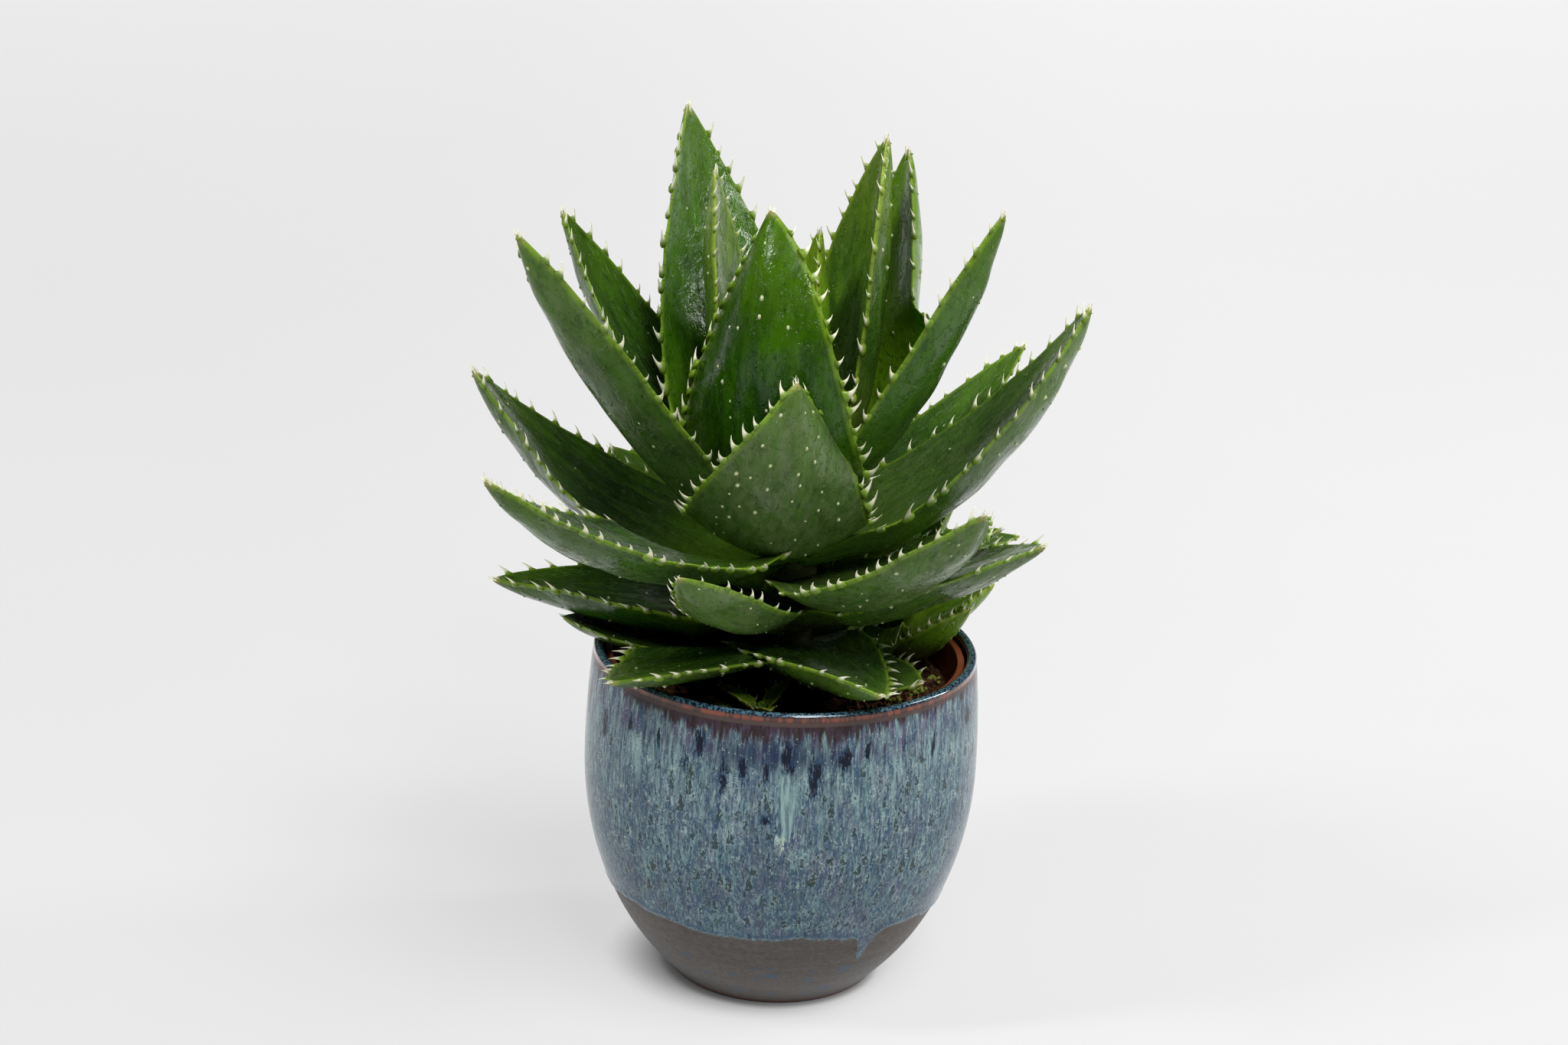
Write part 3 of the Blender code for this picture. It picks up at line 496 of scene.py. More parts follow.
glazeLook = {
    "slate": (0.050, 0.098, 0.138), "teal": (0.135, 0.250, 0.275), "violet": (0.125, 0.120, 0.195),
    "pale": (0.320, 0.460, 0.470), "dusk": (0.072, 0.082, 0.130), "deep": (0.014, 0.036, 0.050),
    "mint": (0.300, 0.450, 0.440), "lilac": (0.090, 0.060, 0.135), "royal": (0.020, 0.062, 0.140),
    "navy": (0.005, 0.016, 0.052), "crystal": (0.50, 0.62, 0.57), "fleck": (0.018, 0.025, 0.018),
    "ink": (0.003, 0.006, 0.018), "run": (0.300, 0.460, 0.430), "cream": (0.56, 0.62, 0.52),
    "iron": (0.024, 0.010, 0.007), "plum": (0.050, 0.024, 0.036), "taupe": (0.092, 0.064, 0.054),
    "rust": (0.200, 0.044, 0.015), "lip": (0.075, 0.170, 0.225), "inside": (0.05, 0.06, 0.06),
    "blue": (0.035, 0.085, 0.150), "edge": (0.150, 0.270, 0.320), "clay": (0.082, 0.070, 0.061),
    "clayPale": (0.118, 0.106, 0.096), "clayDark": (0.055, 0.046, 0.040), "clayRust": (0.085, 0.045, 0.032),
    "clayFloorSheen": (0.165, 0.156, 0.152), "footRust": (0.120, 0.040, 0.020), "foot": (0.010, 0.007, 0.006),
    "clayRoughness": 0.40, "glazeRoughness": 0.09, "gloss": 0.20,
}


def plasticMaterial(name, look):
    material, tree, surface = newMaterial(name)
    place = objectPlace(tree)
    dust = grouped(tree, streaks, Coordinates=place, Scale=(160, 160, 160), Low=0.4, High=0.7)
    dirt = grouped(tree, spots, Coordinates=place, Scale=(420, 420, 420), Size=0.35, Share=0.25)
    colour = mixed(tree, dust, look["colour"], look["faded"])
    colour = mixed(tree, times(tree, dirt, 0.6), colour, look["dirt"])
    relief = grouped(tree, grain, Coordinates=place, Fine=2600, Broad=200)
    shine = ranged(tree, dust, 0, 1, look["roughness"], look["roughness"] + 0.2)
    setSurface(tree, surface, colour, shine, relief, (0.2, 0.0002), {"Specular IOR Level": 0.25})
    return material


plasticLook = {"colour": (0.26, 0.060, 0.024), "faded": (0.31, 0.085, 0.038), "dirt": (0.04, 0.025, 0.015),
               "roughness": 0.38}


# "kind" is 0 for peat. Its first part goes up to 1 for fibre, its second for moss, its third for a dry crumb.
def soilMaterial(name, look):
    material, tree, surface = newMaterial(name)
    place = objectPlace(tree)
    fibre, moss, dry = parts(tree, "kind")
    clumps = grouped(tree, streaks, Coordinates=place, Scale=(420, 420, 420), Low=0.35, High=0.65)
    colour = painted(tree, mixed(tree, clumps, look["peat"], look["crumb"]), look, [
        (times(tree, dry, 0.7), "dry"),
        (fibre, "fibre"),
        (moss, mixed(tree, clumps, look["moss"], look["mossPale"])),
    ])
    relief = grouped(tree, grain, Coordinates=place, Fine=1500, Broad=500, Amount=0.9)
    shine = ranged(tree, clumps, 0, 1, 0.72, 0.97)
    setSurface(tree, surface, colour, shine, relief, (0.9, 0.0006), {"Specular IOR Level": 0.12})
    return material


soilLook = {"peat": (0.022, 0.010, 0.005), "crumb": (0.14, 0.062, 0.026), "dry": (0.32, 0.15, 0.07),
            "fibre": (0.36, 0.19, 0.09), "moss": (0.15, 0.22, 0.025), "mossPale": (0.40, 0.42, 0.09)}


# "rise" is how far up the bud a point is, from 0.6 to 1, and how deep in a crease
def stemMaterial(name, look):
    material, tree, surface = newMaterial(name)
    place = objectPlace(tree)
    rise, crease, _ = parts(tree, "rise")
    scars = grouped(tree, streaks, Coordinates=place, Scale=(120, 120, 600), Low=0.4, High=0.62)
    heart = mixed(tree, ranged(tree, rise, 0.93, 1.0), look["heart"], look["bud"])
    # dark green deep in the creases between the furled leaves: painted shade
    heart = mixed(tree, ranged(tree, crease, 0.15, 0.6), heart, look["crease"])
    bark = mixed(tree, scars, look["green"], look["brown"])
    colour = mixed(tree, ranged(tree, rise, 0.62, 0.84), bark, heart)
    relief = grouped(tree, grain, Coordinates=place, Fine=1600, Broad=350)
    setSurface(tree, surface, colour, ranged(tree, scars, 0, 1, 0.5, 0.8), relief, (0.6, 0.0005))
    return material


# the crease tone is painted shade in the bud's creases
stemLook = {"green": (0.11, 0.15, 0.03), "brown": (0.09, 0.055, 0.025), "heart": (0.075, 0.200, 0.006),
            "bud": (0.20, 0.36, 0.02), "crease": (0.012, 0.045, 0.003)}


def floorMaterial(name, look):
    material, tree, surface = newMaterial(name)
    place = objectPlace(tree)
    cloud = grouped(tree, streaks, Coordinates=place, Scale=(3, 3, 3), Low=0.3, High=0.7)
    colour = mixed(tree, cloud, look["colour"], look["cloud"])
    relief = grouped(tree, grain, Coordinates=place, Fine=900, Broad=60)
    setSurface(tree, surface, colour, ranged(tree, cloud, 0, 1, 0.75, 0.85), relief, (0.05, 0.0004), {
        "Emission Color": (1, 1, 1, 1), "Specular IOR Level": 0.2,
    })
    x, y, _ = separate(tree, place)
    glow = plus(tree, ranged(tree, y, -0.2, 2.4, *look["glow"]), ranged(tree, x, -0.3, 0.3, 0, look["right"]))
    for centre, near, far, least in look["shades"]:
        away = vectorMaths(tree, "DISTANCE", place, centre)
        glow = times(tree, glow, ranged(tree, away, near, far, least, 1))
    tree.links.new(glow, surface.inputs["Emission Strength"])
    return material


# The paper is lit from below as well, as on a light table: a painted glow, a little brighter towards the
# back and the right, and painted shadows where the pot keeps some of that light off it. A shade has its
# centre, the distances where it is full and gone, and how much light is left.
floorLook = {
    "colour": (0.23, 0.23, 0.23), "cloud": (0.22, 0.22, 0.22), "glow": (0.545, 0.695), "right": 0.06,
    "size": 9.0,
    "shades": [((-0.008, 0.003, 0), 0.027, 0.051, 0.10), ((-0.001, 0, 0), 0.0345, 0.0385, 0.4)],
}
materials = {
    "leaf": leafMaterial("leaf_old", oldLook),
    "young_leaf": leafMaterial("leaf_young", youngLook),
    "glaze": glazeMaterial("reactive_glaze", glazeLook),
    "nursery_plastic": plasticMaterial("terracotta_plastic", plasticLook),
    "soil": soilMaterial("peat", soilLook),
    "stem": stemMaterial("stem_bark", stemLook),
}
print("materials")


def smoothStep(value):
    value = np.clip(value, 0, 1)
    return value * value * (3 - 2 * value)


def unit(vectors):
    return vectors / np.maximum(np.linalg.norm(vectors, axis=-1, keepdims=True), 1e-12)


# A smooth mesh object from points and faces, with its named vector values on the points
def makeObject(name, points, faces, values, material):
    data = bpy.data.meshes.new(name)
    data.from_pydata([tuple(point) for point in points], [], faces)
    for label, rows in values.items():
        layer = data.attributes.new(label, "FLOAT_VECTOR", "POINT")
        layer.data.foreach_set("vector", np.asarray(rows, dtype=np.float32).ravel())
    data.materials.append(material)
    data.shade_smooth()
    data.validate()
    made = bpy.data.objects.new(name, data)
    scene.collection.objects.link(made)
    return made


def place(piece, node, slotName):
    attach(piece, "root")
    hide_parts(node)


# Faces of a tube: rings of the same number of points, closed round and open at the ends
def ringFaces(rings, around):
    faces = []
    for base in range(0, (rings - 1) * around, around):
        for i in range(around):
            j = (i + 1) % around
            faces.append((base + i, base + j, base + around + j, base + around + i))
    return faces


# A spike is rings of points with a point beyond the last ring and a flat face over the first
def spikeFaces(rings, around):
    last = (rings - 1) * around
    faces = ringFaces(rings, around)
    faces += [(last + i, last + (i + 1) % around, last + around) for i in range(around)]
    return faces + [tuple(range(around - 1, -1, -1))]


# A turned shape's points are its rings, then the middle of the last ring and the middle of the first
def turnedFaces(rings, around):
    last = (rings - 1) * around
    faces = ringFaces(rings, around)
    for i in range(around):
        j = (i + 1) % around
        faces += [(last + i, last + j, last + around), (j, i, last + around + 1)]
    return faces


def ringPoints(radius, height, turn):
    return np.stack([radius * np.cos(turn), radius * np.sin(turn), height + 0 * turn], -1)


def evenTurns(around):
    return np.linspace(0, 2 * math.pi, around, endpoint=False)


# Where each stem stands, its foot in the soil and the top of its bud
stems = {
    "main": {"name": "main_stem", "x": 0.0, "y": 0.0, "radius": 0.0095, "foot": 0.072, "top": 0.1778},
    "offset": {"name": "offset_stem", "x": 0.035, "y": 0.014, "radius": 0.005, "foot": 0.087, "top": 0.1218},
    "shoot": {"name": "shoot_stem", "x": -0.007, "y": -0.036, "radius": 0.0022, "foot": 0.094, "top": 0.1093},
}


# spacing is between thorns along a margin in metres. dots are the tubercles, and drops the water, on the
# outer and the inner face. shade is how fresh a green the leaf is, haze how much bloom dulls it, and the last
# tone how much paler and younger it looks: painted light shining through a leaf that stands in shade.
def leafRow(name, bearing, height, rise, lift, length, width, **extra):
    row = {
        "name": name, "bearing": bearing, "height": height, "rise": rise, "lift": lift, "length": length,
        "width": width, "sweep": 0, "fold": 30, "roll": 0, "fullness": 3, "stem": "main", "slot": "leaf",
        "spacing": 0.0082, "dots": (9, 3), "drops": (20, 16), "shade": 0.4, "haze": 0.25, "lime": 0,
    }
    row.update(extra)
    return row


offset = {"stem": "offset", "slot": "young_leaf", "spacing": 0.0042, "dots": (5, 2), "drops": (4, 3),
          "shade": 0.85, "haze": 0.05}
shoot = {"stem": "shoot", "slot": "young_leaf", "spacing": 0.0035, "dots": (0, 0), "drops": (0, 0),
         "shade": 0.9, "haze": 0}
# Youngest first on each stem: name, bearing, height, rise, lift, length, width
leaves = [
    leafRow("leaf_01", 45, 0.1748, 95, 90, 0.083, 0.036, sweep=-15, fold=45, roll=-15, slot="young_leaf",
            shade=0.8, haze=0),
    leafRow("leaf_02", 160, 0.1698, 65, 90, 0.108, 0.044, sweep=10, slot="young_leaf", shade=0.2, haze=0.2),
    leafRow("leaf_03", 25, 0.1718, 74, 88, 0.117, 0.054, sweep=-10, fold=45, slot="young_leaf", shade=0,
            haze=0.2),
    leafRow("leaf_04", 125, 0.1678, 42, 86, 0.134, 0.068, sweep=25, fold=20, roll=8, shade=0.75, haze=0.05),
    leafRow("leaf_05", -110, 0.1648, 32, 122, 0.1165, 0.066, sweep=16, roll=-39, spacing=0.0064, dots=(16, 3),
            shade=0.26, haze=0),
    leafRow("leaf_06", -15, 0.1678, 49, 72, 0.118, 0.046, sweep=-10, spacing=0.0085, shade=0.75, haze=0.2),
    # leaf_07, leaf_08 and leaf_20 take the freshest and palest green: painted light shining through them in
    # shade
    leafRow("leaf_07", 35, 0.1618, 52, 96, 0.126, 0.055, sweep=-7, fold=35, roll=-7, shade=1, haze=0,
            lime=0.9),
    leafRow("leaf_08", 80, 0.1618, 26, 72, 0.088, 0.052, shade=1, haze=0, lime=0.8),
    leafRow("leaf_09", 156, 0.1608, 31, 67, 0.122, 0.051, sweep=13, fold=35, shade=0.35, haze=0.1),
    leafRow("leaf_10", -155, 0.1518, 38, 62, 0.145, 0.048, sweep=10, roll=10, spacing=0.0095, shade=0.5,
            haze=0.5),
    leafRow("leaf_11", -100, 0.1548, 10, 90, 0.092, 0.060, sweep=50, fold=24, roll=12, spacing=0.0058,
            dots=(34, 4), shade=0.45, haze=0.75),
    leafRow("leaf_12", 5, 0.1498, 16, 68, 0.124, 0.064, sweep=2, roll=-8, fullness=2.7, shade=0.7, haze=0.55),
    leafRow("leaf_13", 118, 0.1558, 14, 62, 0.110, 0.056),
    leafRow("leaf_14", 46, 0.1488, 12, 43, 0.1135, 0.034, sweep=-10, fullness=2.7),
    leafRow("leaf_15", 160, 0.1398, -3, 58, 0.124, 0.064, sweep=30, fold=22, shade=0.12, haze=0.1),
    leafRow("leaf_16", -136, 0.1528, -8, 43.5, 0.132, 0.058, fold=25, roll=-4, spacing=0.0068, shade=0.3),
    leafRow("leaf_17", 74, 0.1508, 10, 50, 0.092, 0.052),
    leafRow("leaf_18", -52, 0.1408, 0, 53, 0.103, 0.054, fold=18, spacing=0.0060, dots=(12, 3), shade=0.45,
            haze=0.6),
    leafRow("leaf_19", 98, 0.1438, 4, 48, 0.102, 0.058),
    leafRow("leaf_20", -6, 0.1403, 9, 29, 0.065, 0.032, sweep=-2, fold=24, shade=1, haze=0, lime=0.9),
    leafRow("leaf_21", -20, 0.1288, 16, 33, 0.088, 0.055, sweep=-8, fold=20, shade=0.35),
    leafRow("leaf_22", 130, 0.1348, -2, 27, 0.096, 0.052),
    leafRow("leaf_23", 50, 0.1328, 1, -3, 0.105, 0.038, sweep=-17, fold=22),
    leafRow("leaf_24", 78, 0.1338, 0, 34, 0.096, 0.052),
    leafRow("leaf_25", -181, 0.1248, 0, 11, 0.090, 0.060, sweep=4, roll=8, shade=0, haze=0),
    leafRow("leaf_26", -104, 0.1338, -7, 46, 0.088, 0.027, sweep=-28, roll=32, fullness=4.6, dots=(4, 2),
            shade=0.5, haze=0.6),
    leafRow("leaf_27", 104, 0.1258, -4, 22, 0.086, 0.052),
    leafRow("leaf_28", -176, 0.1188, -15, 20, 0.067, 0.044, fold=20, shade=0.15),
    leafRow("leaf_29", 136, 0.1208, -2, 12, 0.066, 0.038),
    leafRow("leaf_30", -75, 0.1188, 5, 5, 0.065, 0.050, sweep=30, fold=16, roll=-24, spacing=0.0055,
            shade=0.15, haze=0.15),
    leafRow("leaf_31", 75, 0.1148, -2, 14, 0.060, 0.044),
    leafRow("leaf_32", -129, 0.1268, -12, 5, 0.075, 0.054, sweep=-7, fold=8, roll=16, spacing=0.0055,
            shade=0.1, haze=0.15),
    leafRow("leaf_33", -43, 0.1118, -8, 22, 0.052, 0.037, sweep=5, fold=18, roll=12, shade=0.2),
    leafRow("offset_leaf_1", 10, 0.1178, 85, 63, 0.050, 0.018, fold=45, **offset),
    leafRow("offset_leaf_2", -105, 0.1168, 50, 60, 0.016, 0.014, fold=40, **offset),
    leafRow("offset_leaf_3", 150, 0.1158, 45, 55, 0.017, 0.014, fold=40, **offset),
    leafRow("offset_leaf_4", -6, 0.1138, 28, 48, 0.038, 0.027, fold=38, **offset),
    leafRow("offset_leaf_5", 62, 0.1128, 14, 20, 0.034, 0.022, fold=35, **offset),
    leafRow("offset_leaf_6", -42, 0.1098, 28, 52, 0.039, 0.027, fold=35, **offset),
    leafRow("offset_leaf_7", 115, 0.1088, 18, 45, 0.036, 0.024, fold=30, **offset),
    leafRow("offset_leaf_8", 0, 0.1073, 12, 30, 0.0145, 0.012, **offset),
    leafRow("shoot_leaf_1", 35, 0.1073, 50, 35, 0.012, 0.0065, fold=40, **shoot),
    leafRow("shoot_leaf_2", 165, 0.1068, 35, 20, 0.014, 0.0065, fold=40, **shoot),
    leafRow("shoot_leaf_3", -75, 0.1063, 40, 15, 0.011, 0.0060, fold=40, **shoot),
]

# How every leaf is built. Thorns, spines and dots are sized for a leaf of the typical width.
body = {
    "stations": 64, "columns": 17, "pathSteps": 240, "margin": 0.0004, "thickness": 0.17, "upperShare": 0.3,
    "rim": 0.00035, "clearance": 0.0004, "thinnest": 0.0010, "pushLimit": 0.012, "waves": 0.0003,
    "smoothing": 10, "thorn": 0.0053, "spine": 0.0040, "spineRoom": 0.0016, "typicalWidth": 0.055,
    "dot": 0.00054, "upperDot": 0.7, "dotGap": 0.0045, "dotAlong": (0.22, 0.92), "dotAcross": 0.82,
    "drop": 0.00035, "dropMost": 0.0008, "dropAlong": (0.2, 0.93), "dropAcross": 0.85, "room": 0.0012,
    "stand": 0.0003, "inset": 0.00005, "noiseShift": 7.3, "seed": 11,
}


# How large the things on a leaf are, against those on a leaf of the typical width
def leafScale(leaf):
    return math.sqrt(leaf["width"] / body["typicalWidth"])


# Stations along a leaf, closer together towards its tip
def leafStations():
    even = np.linspace(0, 1, body["stations"])
    return 0.998 * (1 - (1 - even) ** 1.35)


# The middle line of a leaf, and the sideways, upward and inward directions at each station
def leafFrames(leaf, along):
    stem = stems[leaf["stem"]]
    steps = np.linspace(0, 1, body["pathSteps"] + 1)
    bearing = math.radians(leaf["bearing"])

    def turning(share):
        rise = np.radians(leaf["rise"] + (leaf["lift"] - leaf["rise"]) * share**0.8)
        return rise, bearing + math.radians(leaf["sweep"]) * share**1.5

    rise, turn = turning(steps)
    tangent = np.stack([np.cos(rise) * np.cos(turn), np.cos(rise) * np.sin(turn), np.sin(rise)], -1)
    rootDepth = leaf["width"] * body["thickness"] * 0.45
    steep = max(0.0, math.sin(math.radians(leaf["rise"])))
    stand = stem["radius"] + body["stand"] + body["upperShare"] * rootDepth * steep
    first = [stem["x"] + stand * math.cos(bearing), stem["y"] + stand * math.sin(bearing), leaf["height"]]
    reach = leaf["length"] - body["spineRoom"] * min(1, leaf["width"] / 0.03)
    strides = (tangent[1:] + tangent[:-1]) / 2 * reach / body["pathSteps"]
    line = np.vstack([first, first + np.cumsum(strides, axis=0)])
    middle = np.stack([np.interp(along, steps, line[:, axis]) for axis in range(3)], -1)
    rise, turn = turning(along)
    side = np.stack([-np.sin(turn), np.cos(turn), 0 * turn], -1)
    up = np.stack([-np.sin(rise) * np.cos(turn), -np.sin(rise) * np.sin(turn), np.cos(rise)], -1)
    roll = (math.radians(leaf["roll"]) * smoothStep(along))[:, None]
    side, up = side * np.cos(roll) + up * np.sin(roll), up * np.cos(roll) - side * np.sin(roll)
    inward = np.stack([-np.cos(turn), -np.sin(turn), 0 * turn], -1)
    return middle, side, up, inward, line[-1]


# The upper and lower faces of a leaf as grids of points, before it makes room for its neighbours
def leafGrid(leaf, along, across, rng):
    middle, side, up, inward, end = leafFrames(leaf, along)
    taper = (1 - along ** leaf["fullness"]) ** 0.9
    half = leaf["width"] / 2 * taper * (0.62 + 0.38 * smoothStep(along / 0.22))
    root = 1 - smoothStep(along / 0.25)
    clasp = np.minimum(half / stems[leaf["stem"]]["radius"] * 0.9, 1.15)
    curl = math.radians(leaf["fold"]) * (1 - root) + clasp * root
    hollow = unit(up * (1 - root[:, None]) + inward * root[:, None])
    turn = curl[:, None] * across[None, :]
    points = middle[:, None] + side[:, None] * (half[:, None] * np.sin(turn) / curl[:, None])[..., None]
    points = points + hollow[:, None] * (half[:, None] * (1 - np.cos(turn)) / curl[:, None])[..., None]
    thinning = np.minimum(1, 0.45 + 2.2 * along) * (1 - along**2.5) ** 0.7
    depth = (leaf["width"] * body["thickness"] * thinning)[:, None]
    phases = [rng.uniform(0, 6.28) for _ in range(6)]
    length = leaf["length"] * 1000
    ripple = np.outer(np.sin(along * length / 5.5 + phases[0]), np.cos(across * 2.1 + phases[1]))
    finer = np.outer(np.sin(along * length / 3.1 + phases[2]), np.cos(across * 4.3 + phases[3]))
    ripple = ripple + 0.6 * finer
    fade = (np.minimum(1, half / 0.012) * smoothStep(along / 0.2))[:, None]
    ripple = ripple * fade * body["waves"]
    upper = depth * body["upperShare"] * (1 - np.abs(across) ** 2)[None] + body["margin"] + ripple * 0.6
    lower = depth * (1 - body["upperShare"]) * (1 - np.abs(across) ** 1.6)[None] + body["margin"] - ripple
    return points + up[:, None] * upper[..., None], points - up[:, None] * lower[..., None], up, half, end


# How far each point of an older leaf's upper face must go down to come out of the younger leaves
def pushOut(points, down, neighbours):
    push = np.zeros(points.shape[:2])
    for tree in neighbours:
        for i in range(points.shape[0]):
            way = Vector(down[i])
            for j in range(points.shape[1]):
                start = Vector(points[i, j] + down[i] * push[i, j])
                _, normal, _, reach = tree.ray_cast(start, way, 0.03)
                if normal is not None and normal.dot(way) > 0:
                    push[i, j] += reach + body["clearance"]
    return np.minimum(push, body["pushLimit"])


# Each value becomes at least the mean of its neighbourhood, so that a push fades out smoothly
def softened(push, rounds):
    for _ in range(rounds):
        padded = np.pad(push, 1, mode="edge")
        mean = (padded[:-2, 1:-1] + padded[2:, 1:-1] + padded[1:-1, :-2] + padded[1:-1, 2:] + 2 * push) / 6
        push = np.maximum(push, mean)
    return push


def boxOf(points):
    flat = points.reshape(-1, 3)
    return flat.min(0) - 0.001, flat.max(0) + 0.001


def boxesMeet(first, second):
    return bool(np.all(first[0] <= second[1]) and np.all(second[0] <= first[1]))


# Where the thorns stand along one margin, as shares of the length, and how long they are
def thornPlaces(leaf, rng):
    places = []
    travelled = leaf["length"] * 0.10 + rng.uniform(0, leaf["spacing"])
    while travelled < leaf["length"] * 0.975:
        a = travelled / leaf["length"]
        size = body["thorn"] * leafScale(leaf) * rng.uniform(0.6, 1.15) * (1.05 - 0.25 * a)
        places.append((a, size))
        travelled += leaf["spacing"] * (1.1 - 0.3 * a) * rng.uniform(0.65, 1.4)
    return places


# How far a margin swells towards its thorns
def marginBumps(leaf, along, places):
    total = 0 * along
    for a, size in places:
        total = total + size * 0.17 * np.exp(-(((along - a) * leaf["length"] / (size * 0.42)) ** 2))
    return total


# The closed loop of a section: over the upper face, round one margin, back under and round the other
def leafLoop(upper, lower, side, rim):
    right = (upper[:, -1:] + lower[:, -1:]) / 2 + side[:, None] * rim[0][:, None, None]
    left = (upper[:, :1] + lower[:, :1]) / 2 - side[:, None] * rim[1][:, None, None]
    return np.concatenate([upper, right, lower[:, ::-1], left], axis=1)


def shapeLeaf(leaf, rng, younger):
    along = leafStations()
    across = np.sin(np.linspace(-1, 1, body["columns"]) * math.pi / 2)
    upper, lower, up, half, end = leafGrid(leaf, along, across, rng)
    bounds = boxOf(np.stack([upper, lower]))
    near = [other["tree"] for other in younger if boxesMeet(bounds, other["box"])]
    total = np.zeros(upper.shape[:2])
    for _ in range(2):
        pushed = upper - up[:, None] * total[..., None]
        total += softened(pushOut(pushed, -up, near), body["smoothing"])
    thick = np.linalg.norm(upper - lower, axis=-1)
    spare = np.maximum(thick - np.minimum(body["thinnest"], thick), 0)
    upper = upper - up[:, None] * total[..., None]
    lower = lower - up[:, None] * np.maximum(total - spare, 0)[..., None]
    end = end - up[-1] * total[-1].mean()
    side = unit(upper[:, -1] - upper[:, 0])
    thorns = [thornPlaces(leaf, rng), thornPlaces(leaf, rng)]
    rim = [np.minimum(body["rim"] + marginBumps(leaf, along, places), half * 0.5) for places in thorns]
    loop = leafLoop(upper, lower, side, rim)
    points = np.vstack([loop.reshape(-1, 3), end[None]])
    faces = spikeFaces(len(along), loop.shape[1])
    shape = {"upper": upper, "lower": lower, "along": along, "across": across, "half": half, "up": up,
             "points": points, "faces": faces, "side": side, "loop": loop, "thorns": thorns, "end": end}
    shape["tree"] = BVHTree.FromPolygons([Vector(point) for point in points], faces)
    shape["box"] = boxOf(points)
    return shape


# Values that the leaf's material reads, for the points of its body. number is the leaf's own.
def bodyValues(leaf, shape, number):
    across, along = shape["across"], shape["along"]
    loopAcross = np.concatenate([across, [1.0], across[::-1], [-1.0]])
    outer = np.concatenate([np.zeros(len(across)), [0.5], np.ones(len(across)), [0.5]])
    sideways = shape["half"][:, None] * loopAcross[None] * 1000
    lengthways = np.repeat(along[:, None] * leaf["length"] * 1000, len(loopAcross), 1)
    fromEdge = shape["half"][:, None] * (1 - np.abs(loopAcross))[None] * 1000
    margin = np.clip(1 - fromEdge / 2.2, 0, 1)
    spread = np.ones_like(margin)
    shift = number * body["noiseShift"]
    placing = np.stack([sideways, lengthways, spread * shift], -1).reshape(-1, 3)
    cover = np.stack([margin, 0 * spread, spread * outer[None]], -1).reshape(-1, 3)
    ends = np.stack([spread * along[:, None], 0 * spread, 0 * spread], -1).reshape(-1, 3)
    tip = [[0, leaf["length"] * 1000, shift]], [[1, 0.3, 0.5]], [[1, 0, 0]]
    return [np.vstack([rows, extra]) for rows, extra in zip((placing, cover, ends), tip)]


# A row of points or ways, read at a share of the length
def atShare(rows, stations, a):
    return np.array([np.interp(a, stations, rows[:, axis]) for axis in range(3)])


# A grid value at a share of the length and a share across, read between its points
def sample(grid, stations, columns, a, c):
    i = int(np.clip(np.searchsorted(stations, a) - 1, 0, len(stations) - 2))
    j = int(np.clip(np.searchsorted(columns, c) - 1, 0, len(columns) - 2))
    u = (a - stations[i]) / (stations[i + 1] - stations[i])
    v = (c - columns[j]) / (columns[j + 1] - columns[j])
    near = grid[i, j] * (1 - v) + grid[i, j + 1] * v
    far = grid[i + 1, j] * (1 - v) + grid[i + 1, j + 1] * v
    return near * (1 - u) + far * u


# A place on one face of a leaf, the way towards its tip there, and the way out of the leaf
def onFace(shape, face, a, c):
    grid, stations, columns = shape[face], shape["along"], shape["across"]
    root = sample(grid, stations, columns, a, c)
    ahead = unit(sample(grid, stations, columns, a + 0.02, c) - root)
    across = unit(sample(grid, stations, columns, a, c + 0.08) - root)
    return root, ahead, unit(np.cross(ahead, across)) * (-1 if face == "lower" else 1)


# A closed spike. Each ring has its middle, its half widths ahead and across, and its value for the material.
def spikeMesh(rings, tip, ahead, across, sides=8):
    points, values = [], []
    for middle, long, wide, value in rings:
        for k in range(sides):
            turn = 2 * math.pi * k / sides
            points.append(middle + ahead * math.cos(turn) * long + across * math.sin(turn) * wide)
            values.append(value)
    return points + [tip[0]], spikeFaces(len(rings), sides), values + [tip[1]]


# The thorn's middle line runs out and hooks towards the leaf's tip; its root flares into the margin
def thornMesh(root, outward, forward, across, size):
    rings = []
    for share, wide in ((-0.16, 1.40), (0.0, 1.12), (0.14, 0.72), (0.34, 0.48), (0.58, 0.31), (0.82, 0.16)):
        away = outward * (share - 0.12 * share**2) + forward * (0.08 * share + 0.46 * share**2)
        rings.append((root + away * size, size * 0.31 * wide, size * 0.17 * wide, max(share, 0)))
    tip = root + outward * size * 0.90 + forward * size * 0.58
    return spikeMesh(rings, (tip, 1.0), forward, across)


# A tubercle: a low pale mound with a blunt point, which leans a little towards the leaf's tip
def dotMesh(root, normal, forward, size):
    rings = []
    for lift, wide, pale in ((-0.25, 1.4, 0.03), (0.03, 1.2, 0.10), (0.25, 0.80, 0.20), (0.6, 0.50, 0.25),
                             (0.9, 0.24, 0.28)):
        middle = root + normal * size * lift + forward * size * 0.25 * max(lift, 0)
        rings.append((middle, size * wide * 1.35, size * wide, pale))
    tip = root + normal * size + forward * size * 0.35
    return spikeMesh(rings, (tip, 0.28), forward, np.cross(normal, forward))


# A flattened drop of water
def dropMesh(root, normal, forward, size):
    rings = [(root + normal * size * lift, size * wide * 1.1, size * wide, 0.0)
             for lift, wide in ((-0.12, 1.0), (0.10, 0.98), (0.32, 0.80), (0.47, 0.48))]
    return spikeMesh(rings, (root + normal * size * 0.53, 0.0), forward, np.cross(normal, forward), sides=10)


